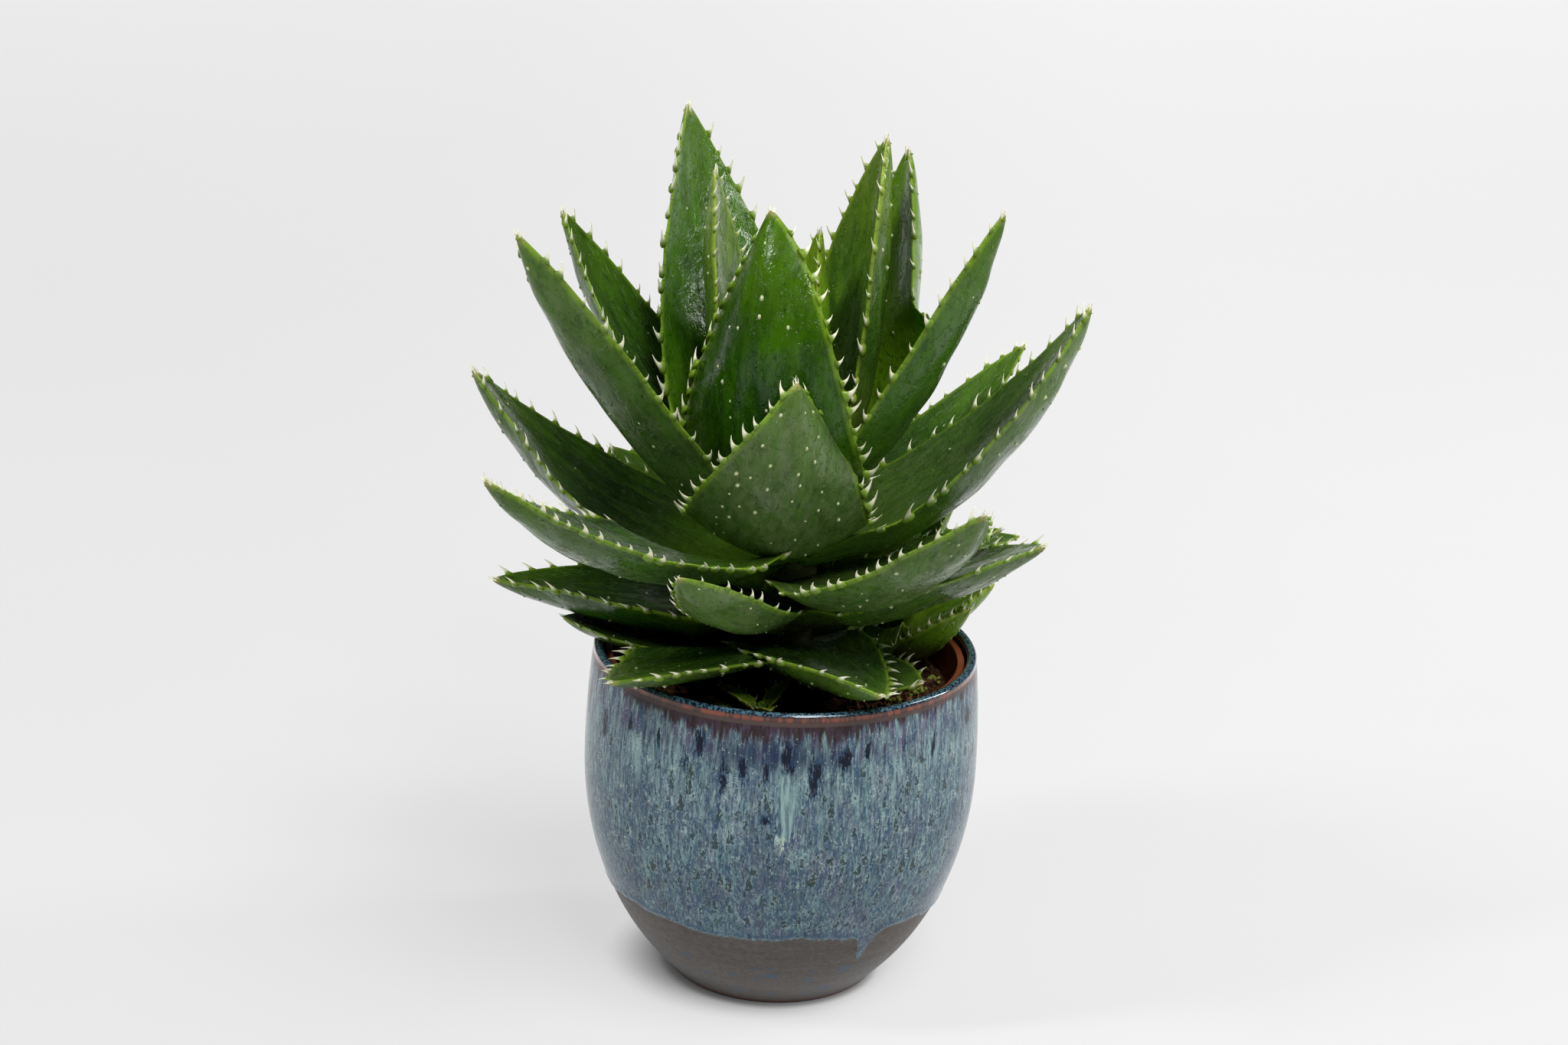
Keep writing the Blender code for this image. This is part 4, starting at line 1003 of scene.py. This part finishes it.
# Collects what grows on one leaf
class Growth:
    def __init__(self, shape, leaf, number):
        self.shape, self.leaf, self.number = shape, leaf, number
        self.points, self.faces = [], []
        self.placing, self.cover, self.ends = [], [], []

    def add(self, points, faces, thorn, a, c, outer, wet=0.0):
        start = len(self.shape["points"]) + len(self.points)
        self.points += list(points)
        self.faces += [tuple(start + index for index in face) for face in faces]
        for value in thorn:
            self.placing.append([c * 20, a * self.leaf["length"] * 1000, self.number * body["noiseShift"]])
            self.cover.append([0.2 if wet else 0.9, value, outer])
            self.ends.append([min(a, 0.94), wet, 0])


# True where a short way out from the leaf meets no other leaf
def isFree(start, way, reach, others):
    origin, direction = Vector(start), Vector(way)
    for other in others:
        if other["tree"].ray_cast(origin, direction, reach)[0] is not None:
            return False
        if other["tree"].find_nearest(origin + direction * reach, 0.0004)[0] is not None:
            return False
    return True


# edge is a margin's column in the loop. first and second are columns of the upper face, at it and near it.
def growThorns(growth, others, rng):
    shape = growth.shape
    stations, loop, upper = shape["along"], shape["loop"], shape["upper"]
    columns = len(shape["across"])
    margins = ((columns, -1, -5, 1.0), (2 * columns + 1, 0, 4, -1.0))
    for thorns, (edge, first, second, sign) in zip(shape["thorns"], margins):
        line, within = loop[:, edge], upper[:, first] - upper[:, second]
        for a, size in thorns:
            root = atShare(line, stations, a)
            forward = unit(atShare(line, stations, min(a + 0.02, 1)) - root)
            outward = unit(atShare(within, stations, a))
            outward = outward + atShare(shape["up"], stations, a) * rng.uniform(0.15, 0.6)
            outward = unit(outward - forward * outward.dot(forward))
            if isFree(root + outward * 0.0003, outward, size, others):
                across = unit(np.cross(outward, forward))
                growth.add(*thornMesh(root, outward, forward, across, size), a, sign, 0.5)


# Short spines spread from the leaf's tip. Each leans sideways and up.
def growTip(growth, others, rng):
    shape, leaf = growth.shape, growth.leaf
    end = shape["end"]
    middle = len(shape["across"]) // 2
    before = (shape["upper"][-8, middle] + shape["lower"][-8, middle]) / 2
    forward = unit(end - before)
    side, above = shape["side"][-6], shape["up"][-6]
    size = body["spine"] * leafScale(leaf)
    leans = ((0, 0), (0.8, 0), (-0.8, 0))
    if leaf["width"] > 0.03:
        leans = ((0.1, 0.0), (0.95, 0.2), (-0.95, 0.2), (0.3, 0.9))
    for sideLean, upLean in leans:
        lean = (side * sideLean + above * upLean) * rng.uniform(0.75, 1.2)
        outward = unit(forward + lean)
        hook = unit(forward - outward * forward.dot(outward) + side * 0.01)
        length = size * rng.uniform(0.75, 1.1)
        root = end - forward * length * (0.40 + 0.22 * np.linalg.norm(lean)) + lean * length * 0.10
        if isFree(root, outward, length, others):
            across = unit(np.cross(outward, hook))
            growth.add(*thornMesh(root, outward, hook, across, length), 0.9, sideLean, 0.5)


def growDots(growth, others, rng):
    leaf = growth.leaf
    for face, count in zip(("lower", "upper"), leaf["dots"]):
        outer = face == "lower"
        placed = []
        for _ in range(count * 4):
            if len(placed) >= count:
                break
            a, c = rng.uniform(*body["dotAlong"]), rng.uniform(-body["dotAcross"], body["dotAcross"])
            root, ahead, normal = onFace(growth.shape, face, a, c)
            if any(np.linalg.norm(root - other) < body["dotGap"] for other in placed):
                continue
            size = body["dot"] * leafScale(leaf) * rng.uniform(0.6, 1.2) * (1 if outer else body["upperDot"])
            if isFree(root + normal * 0.0002, normal, body["room"], others):
                placed.append(root)
                growth.add(*dotMesh(root, normal, ahead, size), a, c, 1.0 if outer else 0.0)


def growDrops(growth, others, rng):
    for face, count in zip(("lower", "upper"), growth.leaf["drops"]):
        for _ in range(count):
            a, c = rng.uniform(*body["dropAlong"]), rng.uniform(-body["dropAcross"], body["dropAcross"])
            root, ahead, normal = onFace(growth.shape, face, a, c)
            size = min(body["drop"] * rng.lognormvariate(0, 0.35), body["dropMost"])
            if isFree(root + normal * 0.0002, normal, body["room"], others):
                growth.add(*dropMesh(root, normal, ahead, size), a, c, 1.0 if face == "lower" else 0.0, 1.0)


# Leaves stay inside the box of the whole part
def makeLeaves():
    inside = [np.array(cadLow) + body["inset"], np.array(cadHigh) - body["inset"]]
    shapes = []
    rng = random.Random(body["seed"])
    for leaf in leaves:
        shapes.append(shapeLeaf(leaf, rng, shapes))
    print("leaf bodies")
    for number, (leaf, shape) in enumerate(zip(leaves, shapes)):
        others = [other for other in shapes if other is not shape and boxesMeet(shape["box"], other["box"])]
        growth = Growth(shape, leaf, number)
        for grow in (growThorns, growTip, growDots, growDrops):
            grow(growth, others, rng)
        values = bodyValues(leaf, shape, number)
        points, faces = shape["points"], shape["faces"] + growth.faces
        if growth.points:
            points = np.vstack([points, growth.points])
            grown = (growth.placing, growth.cover, growth.ends)
            values = [np.vstack([rows, extra]) for rows, extra in zip(values, grown)]
        points = np.clip(points, inside[0], inside[1])
        tone = np.tile([leaf["haze"], leaf["shade"], leaf["lime"]], (len(points), 1))
        named = {"place": values[0], "cover": values[1], "ends": values[2], "tone": tone}
        piece = makeObject(leaf["name"] + "_skin", points, faces, named, materials[leaf["slot"]])
        place(piece, leaf["name"], leaf["slot"])


makeLeaves()
print("leaves")

# The cover pot, in metres unless a note says otherwise
pot = {
    "height": 0.1162, "belly": 0.0659, "bellyHeight": 0.0768, "drop": 0.088, "rise": 0.150, "wall": 0.0033,
    "floor": 0.0078, "foot": 0.0350, "footSoft": 0.0022, "around": 288, "rows": 110,
    "glaze": 0.00035, "bead": 0.0003, "thickRun": 0.0003,
    # the foot's rounded corner: out from the foot's radius, and up
    "corner": [(-0.0028, 0.0), (-0.0014, 0.0002), (-0.0004, 0.0009)],
    # bearing in degrees and height in millimetres of the glaze's lower edge, all the way round
    "edge": [(-180, 34.8), (-160, 33.8), (-143, 36.3), (-134, 36.1), (-117, 34.2), (-102, 34.8), (-83, 35.4),
             (-68, 34.4), (-61, 33.3), (-57, 20.8), (-54.5, 32.8), (-51, 35.5), (-38, 34.1), (-17, 31.8),
             (0, 34.8), (25, 36.8), (46, 34.8), (50, 28.8), (53, 34.8), (80, 32.8), (105, 35.8), (135, 36.8),
             (160, 33.8)],
    # runs of thicker glaze: bearing and half width in degrees, top and bottom in millimetres, and strength
    "runs": [(-88, 3.6, 100, 71.5, 0.85), (5, 3.0, 99, 76, 0.7), (72, 2.8, 100, 74, 0.8),
             (150, 3.0, 99, 78, 0.7)],
    # dark blots: bearing, height, half width and half height in millimetres
    "blots": [(-88.6, 102, 1.9, 4.0), (-86.6, 98, 1.3, 2.4), (-71.7, 100.5, 2.1, 3.8), (-100.5, 97, 1.4, 5.0),
              (-94, 96, 0.9, 3.0), (-105.8, 93, 0.9, 7.0), (-80.6, 93.5, 1.2, 6.5), (-78.5, 97, 0.8, 3.0),
              (-113.5, 103, 1.6, 4.5), (-65, 102.5, 0.8, 3.0), (-93.3, 80, 1.3, 1.6), (-118, 96, 0.7, 4.0),
              (-127, 101, 0.9, 3.2), (-139, 102, 0.8, 3.0), (-152, 96, 1.3, 6.0), (-168, 100, 2.0, 4.5),
              (-52, 103, 0.7, 2.5), (-41, 99, 0.7, 3.0), (-21, 102, 1.9, 3.6), (-8, 93, 0.9, 6.0),
              (12, 101, 2.0, 4.0), (24, 96, 0.9, 5.0), (41, 102, 1.2, 3.0), (57, 95, 1.5, 4.0),
              (79, 101, 2.0, 4.5), (93, 94, 0.9, 6.0), (108, 102, 1.1, 3.0), (124, 97, 1.6, 5.0),
              (137, 101, 1.0, 4.0), (160, 95, 1.2, 6.0), (176, 102, 1.6, 4.0)],
    # dark pools under the lip's band, the first of them painted shade in the middle of the front: bearing,
    # height, half width in degrees, half height, and strength
    "pools": [(-92, 102.5, 19, 6.5, 1.0), (-137, 104, 8, 4.5, 0.5), (30, 102, 16, 6, 0.9),
              (95, 103, 10, 6, 0.7), (165, 102, 14, 6, 0.8)],
    # how far the band under the lip draws back: bearing and millimetres
    "band": [(-180, 2.5), (-150, 3.5), (-128, 1.5), (-108, 0), (-76, 0), (-62, 2.5), (-45, 4.0), (-20, 3.5),
             (5, 0.5), (50, 0.5), (75, 3.0), (110, 1.0), (150, 0.5)],
}


def potRadius(height):
    reach = np.where(height < pot["bellyHeight"], pot["drop"], pot["rise"])
    egg = pot["belly"] * np.sqrt(1 - ((height - pot["bellyHeight"]) / reach) ** 2)
    return (egg + pot["foot"] + np.sqrt((egg - pot["foot"]) ** 2 + pot["footSoft"] ** 2)) / 2


# How far a bearing lies from another, in degrees
def apart(degrees, other):
    return (degrees - other + 180) % 360 - 180


# A value between the rows of a table of bearings, all the way round the pot
def roundPot(table, degrees):
    bearings = [row[0] for row in table] + [180]
    return np.interp(apart(degrees, 0), bearings, [row[1] for row in table] + [table[0][1]])


# Where the thicker runs are, from 0 to 1, and their tails, at one height in millimetres
def glazeRuns(degrees, height):
    total, tails = np.zeros_like(degrees), np.zeros_like(degrees)
    for bearing, wide, top, bottom, strength in pot["runs"]:
        taper = wide * (0.5 + 0.8 * np.clip((height - bottom) / (top - bottom), 0, 1))
        sway = 0.5 * np.sin(height / 4.1 + bearing) + 0.3 * np.sin(height / 1.7)
        across = np.exp(-((apart(degrees, bearing + sway) / taper) ** 2)) * strength
        total += across * smoothStep((height - bottom) / 2.5) * smoothStep((top - height) / 12)
        aside = np.abs(apart(degrees, bearing + sway)) * math.radians(1) * pot["belly"] * 1000
        prongs = np.exp(-(((aside - (height - bottom) * 0.6) / 0.9) ** 2)) * strength
        prongs = np.maximum(prongs, np.exp(-((aside / 0.9) ** 2)) * strength)
        tails += prongs * smoothStep((height - bottom + 3) / 1.5) * smoothStep((bottom + 6 - height) / 4)
    return np.clip(total, 0, 1), np.clip(tails, 0, 1)


# Where the dark blots are, drawn out upwards
def glazeBlots(degrees, height):
    total = np.zeros_like(degrees)
    for bearing, middle, wide, tall in pot["blots"]:
        aside = apart(degrees, bearing) * math.radians(1) * pot["belly"] * 1000 / wide
        along = (height - middle) / tall
        total = np.maximum(total, np.exp(-(aside**2) - along**2 * (0.7 if along > 0 else 1.6)))
    return total


# The dark pools from 0 to 1, the one in the middle of the front painted shade, and how far the band under
# the lip draws back, in millimetres
def glazeFlow(degrees, height):
    pool = np.zeros_like(degrees)
    for bearing, middle, wide, tall, strength in pot["pools"]:
        spread = (apart(degrees, bearing) / wide) ** 2 + ((height - middle) / tall) ** 2
        pool = np.maximum(pool, strength * np.exp(-(spread**1.5)))
    return pool, roundPot(pot["band"], degrees)


# The pot's profile: up the outside, over the lip and down the inside, with a side that goes from 0 to 1
def potProfile():
    lip = pot["wall"] / 2
    top = pot["height"] - lip
    rows = [(pot["foot"] + out, height, 0) for out, height in pot["corner"]]
    rows += [(float(potRadius(height)), float(height), 0) for height in np.linspace(0.0018, top, pot["rows"])]
    edge = float(potRadius(np.array(top))) - lip
    for angle in [math.pi * i / 12 for i in range(1, 12)]:
        rows.append((edge + lip * math.cos(angle), top + lip * math.sin(angle), 0.1 + 0.8 * angle / math.pi))
    for height in np.linspace(top, pot["floor"] + pot["wall"], 50):
        slope = float(potRadius(height + 1e-5) - potRadius(height - 1e-5)) / 2e-5
        square = math.sqrt(1 + slope * slope)
        inner = float(potRadius(height)) - pot["wall"] / square
        rows.append((inner, float(height) + pot["wall"] * slope / square, 1))
    last = rows[-1][0]
    return rows + [(last * 0.8, pot["floor"], 1), (last * 0.4, pot["floor"], 1)]


def makeCoverPot():
    turn = evenTurns(pot["around"])
    degrees = np.degrees(turn)
    wave = np.sin(turn * 9 + 1.3) + 0.7 * np.sin(turn * 17 + 0.4) + 0.5 * np.sin(turn * 31 + 2)
    edges = roundPot(pot["edge"], degrees) + 0.35 * wave
    rows = potProfile()
    points, values = [], {"glazed": [], "runs": [], "flow": []}
    for radius, height, side in rows:
        high = height * 1000
        above = high - edges
        running, tails = glazeRuns(degrees, high)
        bead = pot["bead"] * np.exp(-(((above - 0.9) / 0.8) ** 2))
        coat = pot["glaze"] * smoothStep((above + 0.3) / 0.7) + bead + pot["thickRun"] * running
        dip = coat - pot["glaze"] - 0.0001 if side == 0 and height > 0.001 else 0
        points.append(ringPoints(radius + dip, height, turn))
        inside = float(side == 1)
        glazed = np.stack([np.where(inside > 0, 20, above), 0 * turn + high, 0 * turn + inside], -1)
        values["glazed"].append(glazed)
        values["runs"].append(np.stack([running, tails, glazeBlots(degrees, high)], -1) * (side == 0))
        pool, bandLift = glazeFlow(degrees, high)
        values["flow"].append(np.stack([pool * (side == 0), bandLift, 0 * turn], -1))
    # the middles of the floor inside and of the base
    points = np.vstack([*points, [[0, 0, pot["floor"]], [0, 0, 0]]])
    middles = {"glazed": [[20, 6, 1], [-20, 0, 0]], "runs": np.zeros((2, 3)), "flow": np.zeros((2, 3))}
    values = {label: np.vstack([*rings, middles[label]]) for label, rings in values.items()}
    faces = turnedFaces(len(rows), pot["around"])
    piece = makeObject("cover_pot_glazed", points, faces, values, materials["glaze"])
    place(piece, "cover_pot", "glaze")


makeCoverPot()
print("cover pot")

nursery = {
    "rim": 0.0598, "height": 0.1132, "band": 0.009, "step": 0.0012, "base": 0.0425, "wall": 0.0013,
    "edge": 0.0006, "holes": 5, "holeRadius": 0.004, "holeRing": 0.026, "holeDepth": 0.010, "around": 144,
}


def turnedMesh(profile, around):
    rings = [ringPoints(radius, height, evenTurns(around)) for radius, height in profile]
    points = np.vstack([*rings, [[0, 0, profile[-1][1]], [0, 0, profile[0][1]]]])
    return points, turnedFaces(len(profile), around)


def makeNurseryPot():
    low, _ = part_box("nursery_pot")
    base = low.z
    rim, top, wall, edge = nursery["rim"], nursery["height"], nursery["wall"], nursery["edge"]
    band = top - nursery["band"]

    def sideRadius(height):
        return nursery["base"] + (rim - nursery["step"] - nursery["base"]) * (height - base) / (top - base)

    inner = sideRadius(top) - wall
    profile = [(nursery["base"] * 0.5, base), (nursery["base"] - edge, base), (nursery["base"], base + edge)]
    profile += [(sideRadius(z), z) for z in np.linspace(base + 0.006, band - nursery["step"], 12)]
    profile += [(rim - 0.0006, band - 0.0002), (rim - 0.0002, band + 0.0004)]
    profile += [(rim, z) for z in np.linspace(band + 0.001, top - edge, 4)]
    arc = [math.pi / 2 * i / 5 for i in range(1, 6)]
    profile += [(rim - edge + edge * math.cos(angle), top - edge + edge * math.sin(angle)) for angle in arc]
    profile += [(inner + edge - edge * math.sin(angle), top - edge + edge * math.cos(angle)) for angle in arc]
    profile += [(sideRadius(z) - wall, z) for z in np.linspace(top - 0.004, base + wall, 10)]
    profile.append((nursery["base"] * 0.5, base + wall))
    points, faces = turnedMesh(profile, nursery["around"])
    piece = makeObject("nursery_pot_moulded", points, faces, {}, materials["nursery_plastic"])
    drills = bmesh.new()
    for i in range(nursery["holes"]):
        turn = 2 * math.pi * i / nursery["holes"]
        made = bmesh.ops.create_cone(drills, cap_ends=True, segments=32, radius1=nursery["holeRadius"],
                                     radius2=nursery["holeRadius"], depth=nursery["holeDepth"])
        middle = (nursery["holeRing"] * math.cos(turn), nursery["holeRing"] * math.sin(turn), base)
        bmesh.ops.translate(drills, vec=middle, verts=made["verts"])
    data = bpy.data.meshes.new("drills")
    drills.to_mesh(data)
    drills.free()
    drill = bpy.data.objects.new("drills", data)
    scene.collection.objects.link(drill)
    cut = piece.modifiers.new("holes", "BOOLEAN")
    cut.object, cut.operation, cut.solver = drill, "DIFFERENCE", "EXACT"
    graph = bpy.context.evaluated_depsgraph_get()
    holed = bpy.data.meshes.new_from_object(piece.evaluated_get(graph))
    piece.modifiers.clear()
    piece.data = holed
    bpy.data.objects.remove(drill)
    holed.set_sharp_from_angle(angle=math.radians(50))
    place(piece, "nursery_pot", "nursery_plastic")


makeNurseryPot()
print("nursery pot")

# reach is how far from the middle crumbs, fibres and moss lie. Each tuft of moss has its place and its lumps.
soil = {
    "height": 0.1036, "around": 200, "rings": 70, "crumbs": 700, "fibres": 150, "seed": 5,
    "base": 0.0406, "middleHeight": 0.060, "gap": 0.0012,
    "reach": {"crumbs": 0.053, "fibres": 0.050, "moss": 0.0535}, "crumbSize": (0.0005, 0.0017),
    "fibreLength": (0.004, 0.014), "fibreThickness": (0.00012, 0.0003), "fibreLift": 0.0018,
    "tuftSpread": (0.0022, 0.0016), "tuftSize": (0.0004, 0.0010), "tuftHeight": 0.0012, "tuftWidth": 0.0025,
    "waves": [(90, 0.0016), (260, 0.0008), (800, 0.0004)],
    "moss": [(-0.0188, -0.0312, 46), (-0.0240, -0.0270, 30), (-0.0150, -0.0345, 22), (0.0440, -0.0080, 26),
             (0.0500, 0.0040, 22), (0.0370, -0.0180, 16), (-0.0300, -0.0400, 20), (0.0050, 0.0500, 24),
             (-0.0450, 0.0150, 24)],
}


def soilTop(x, y):
    return soil["height"] + sum(high * noise.noise(Vector((x, y, 0)) * fine) for fine, high in soil["waves"])


# What the soil is made of: points, faces and the kind of each point
class Ground:
    def __init__(self):
        self.points, self.faces, self.kinds = [], [], []

    def add(self, points, faces, kind):
        start = len(self.points)
        self.points += points
        self.faces += [tuple(start + index for index in face) for face in faces]
        self.kinds += [kind] * len(points)


# A small rough lump, for crumbs of peat and tufts of moss
def lump(ground, centre, size, rng, kind):
    made = bmesh.new()
    bmesh.ops.create_icosphere(made, subdivisions=2 if size > 0.0012 else 1, radius=1)
    squash = [rng.uniform(0.6, 1.2) for _ in range(3)]
    shift = Vector((rng.random(), rng.random(), rng.random())) * 20
    points = []
    for vertex in made.verts:
        swell = size * (1 + 0.45 * noise.noise(vertex.co * 1.7 + shift))
        points.append([centre[axis] + vertex.co[axis] * squash[axis] * swell for axis in range(3)])
    ground.add(points, [[vertex.index for vertex in face.verts] for face in made.faces], kind)
    made.free()


# A thin root or fibre that lies on the soil in a bent line and may rise off it in the middle
def strand(ground, start, heading, length, thick, rng, kind, climb, steps=7, sides=5):
    points = []
    x, y = start
    for step in range(steps + 1):
        share = step / steps
        z = soilTop(x, y) + thick * 0.6 + climb * math.sin(share * math.pi)
        wide = thick * (1 - 0.6 * share)
        side = Vector((-math.sin(heading), math.cos(heading), 0))
        for k in range(sides):
            turn = 2 * math.pi * k / sides
            point = Vector((x, y, z)) + side * math.cos(turn) * wide + Vector((0, 0, math.sin(turn) * wide))
            points.append(list(point))
        heading += rng.uniform(-0.5, 0.5)
        x += math.cos(heading) * length / steps
        y += math.sin(heading) * length / steps
    ends = [tuple(range(sides - 1, -1, -1)), tuple(range(steps * sides, (steps + 1) * sides))]
    ground.add(points, ringFaces(steps + 1, sides) + ends, kind)


# A random place within a reach of the middle, and its bearing
def scattered(rng, reach):
    radius, bearing = reach * math.sqrt(rng.random()), rng.uniform(0, 2 * math.pi)
    return radius * math.cos(bearing), radius * math.sin(bearing), bearing


def makeSoil():
    rng = random.Random(soil["seed"])
    low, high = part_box("soil")
    rim, base = high.x - soil["gap"], soil["base"]
    turn = evenTurns(soil["around"])
    points = []
    for radius, z in ((base * 0.5, low.z), (base, low.z), ((base + rim) / 2, soil["middleHeight"])):
        points += [list(point) for point in ringPoints(radius, z, turn)]
    for ring in range(soil["rings"]):
        points += [[x, y, soilTop(x, y)] for x, y, _ in ringPoints(rim * (1 - ring / soil["rings"]), 0, turn)]
    points += [[0, 0, soilTop(0, 0)], [0, 0, low.z]]
    ground = Ground()
    ground.add(points, turnedFaces(3 + soil["rings"], soil["around"]), [0, 0, 0])
    for _ in range(soil["crumbs"]):
        x, y, _ = scattered(rng, soil["reach"]["crumbs"])
        size = rng.uniform(*soil["crumbSize"])
        kind = [0, 0, rng.random() ** 3]
        lump(ground, (x, y, soilTop(x, y) + size * 0.25), size, rng, kind)
    for _ in range(soil["fibres"]):
        x, y, bearing = scattered(rng, soil["reach"]["fibres"])
        length, thick = rng.uniform(*soil["fibreLength"]), rng.uniform(*soil["fibreThickness"])
        heading = bearing + math.pi + rng.uniform(-1.3, 1.3)
        kind = [rng.uniform(0.5, 1), 0, 0]
        strand(ground, (x, y), heading, length, thick, rng, kind, rng.uniform(0, soil["fibreLift"]))
    for middleX, middleY, count in soil["moss"]:
        for _ in range(count):
            x = middleX + rng.gauss(0, soil["tuftSpread"][0])
            y = middleY + rng.gauss(0, soil["tuftSpread"][1])
            if math.hypot(x, y) > soil["reach"]["moss"]:
                continue
            size = rng.uniform(*soil["tuftSize"])
            away = math.hypot(x - middleX, y - middleY) / soil["tuftWidth"]
            heap = soil["tuftHeight"] * math.exp(-(away**2))
            lump(ground, (x, y, soilTop(x, y) + size * 0.7 + heap), size, rng, [0, 1, 0])
    piece = makeObject("soil_surface", ground.points, ground.faces, {"kind": ground.kinds}, materials["soil"])
    place(piece, "soil", "soil")


makeSoil()
print("soil")


bud = {"around": 48, "rings": 72, "crease": 0.42, "twist": 3.0}


# A short fleshy stem with the scars of old leaves round it, and a bud of three furled leaves at its top
def makeStem(stem):
    around, rings = bud["around"], bud["rings"]
    points, rises = [], []
    for ring in range(rings + 1):
        share = 1 - (1 - ring / rings) ** 1.3
        z = stem["foot"] + (stem["top"] - stem["foot"]) * share
        crown = min(1, (stem["top"] - z) / (stem["radius"] * 1.1))
        narrow = 0.08 + 0.92 * math.sqrt(max(1 - (1 - crown) ** 2, 0)) ** 1.3
        for k in range(around):
            turn = 2 * math.pi * k / around
            rough = noise.noise(Vector((math.cos(turn), math.sin(turn), z * 300)))
            scar = 0.03 * math.sin(share * 70 + 3 * turn) + 0.02 * rough
            fold = abs(math.sin(1.5 * turn + bud["twist"] * (1 - crown))) ** 0.55
            crease = min(1, 2.5 * (1 - crown)) * (1 - fold)
            radius = stem["radius"] * narrow * (0.95 + scar * crown - bud["crease"] * crease)
            points.append([stem["x"] + radius * math.cos(turn), stem["y"] + radius * math.sin(turn), z])
            rises.append([1 - 0.4 * crown if crown < 1 else 0.6 * share, crease, 0])
    faces = ringFaces(rings + 1, around)
    faces.append(tuple(range(around - 1, -1, -1)))
    faces.append(tuple(rings * around + k for k in range(around)))
    piece = makeObject(stem["name"] + "_bark", points, faces, {"rise": rises}, materials["stem"])
    place(piece, stem["name"], "stem")


for stem in stems.values():
    makeStem(stem)
print("stems")


def makeFloor():
    size = floorLook["size"]
    corners = [(-size, -size, 0), (size, -size, 0), (size, size, 0), (-size, size, 0)]
    floor = makeObject("floor", corners, [(0, 1, 2, 3)], {}, floorMaterial("floor_paper", floorLook))


# A light looks at a point of the plant's axis, at the height of its aim
def makeLight(name, look):
    data = bpy.data.lights.new(name, look["kind"])
    if look["kind"] == "AREA":
        data.shape = "RECTANGLE"
        data.size, data.size_y = look["size"]
    else:
        data.angle = math.radians(look["spread"])
    data.energy = look["power"]
    light = bpy.data.objects.new(name, data)
    light.location = look["place"]
    way = Vector((0, 0, look["aim"])) - Vector(look["place"])
    light.rotation_euler = way.to_track_quat("-Z", "Y").to_euler()
    scene.collection.objects.link(light)


# A bright room behind the plant and above it, and a dim one in front
def makeWorld(look):
    world = bpy.data.worlds.new("surroundings")
    world.use_nodes = True
    tree = world.node_tree
    way = separate(tree, addNode(tree, "ShaderNodeTexCoord").outputs["Generated"])
    back = ranged(tree, way[1], -0.6, 0.5, look["front"], look["back"])
    above = ranged(tree, way[2], 0.3, 0.9, 0, look["above"])
    tree.links.new(plus(tree, back, above), tree.nodes["Background"].inputs["Strength"])
    scene.world = world


surroundings = {"front": 0.10, "back": 0.36, "above": 0.15}
lights = {
    "sky": {"kind": "SUN", "place": (0.38, -0.38, 1.25), "aim": 0.1, "spread": 32, "power": 2.0},
    "key": {"kind": "AREA", "place": (0.28, -0.98, 1.15), "aim": 0.17, "size": (0.32, 0.2), "power": 5.5},
    "left": {"kind": "AREA", "place": (-0.85, -0.35, 1.15), "aim": 0.16, "size": (0.12, 0.6), "power": 9},
    "right": {"kind": "AREA", "place": (1.1, 0.35, 0.85), "aim": 0.14, "size": (0.12, 0.9), "power": 7},
}
makeFloor()
for name, look in lights.items():
    makeLight(name, look)
makeWorld(surroundings)
scene.view_settings.view_transform = "Standard"
print("lights")
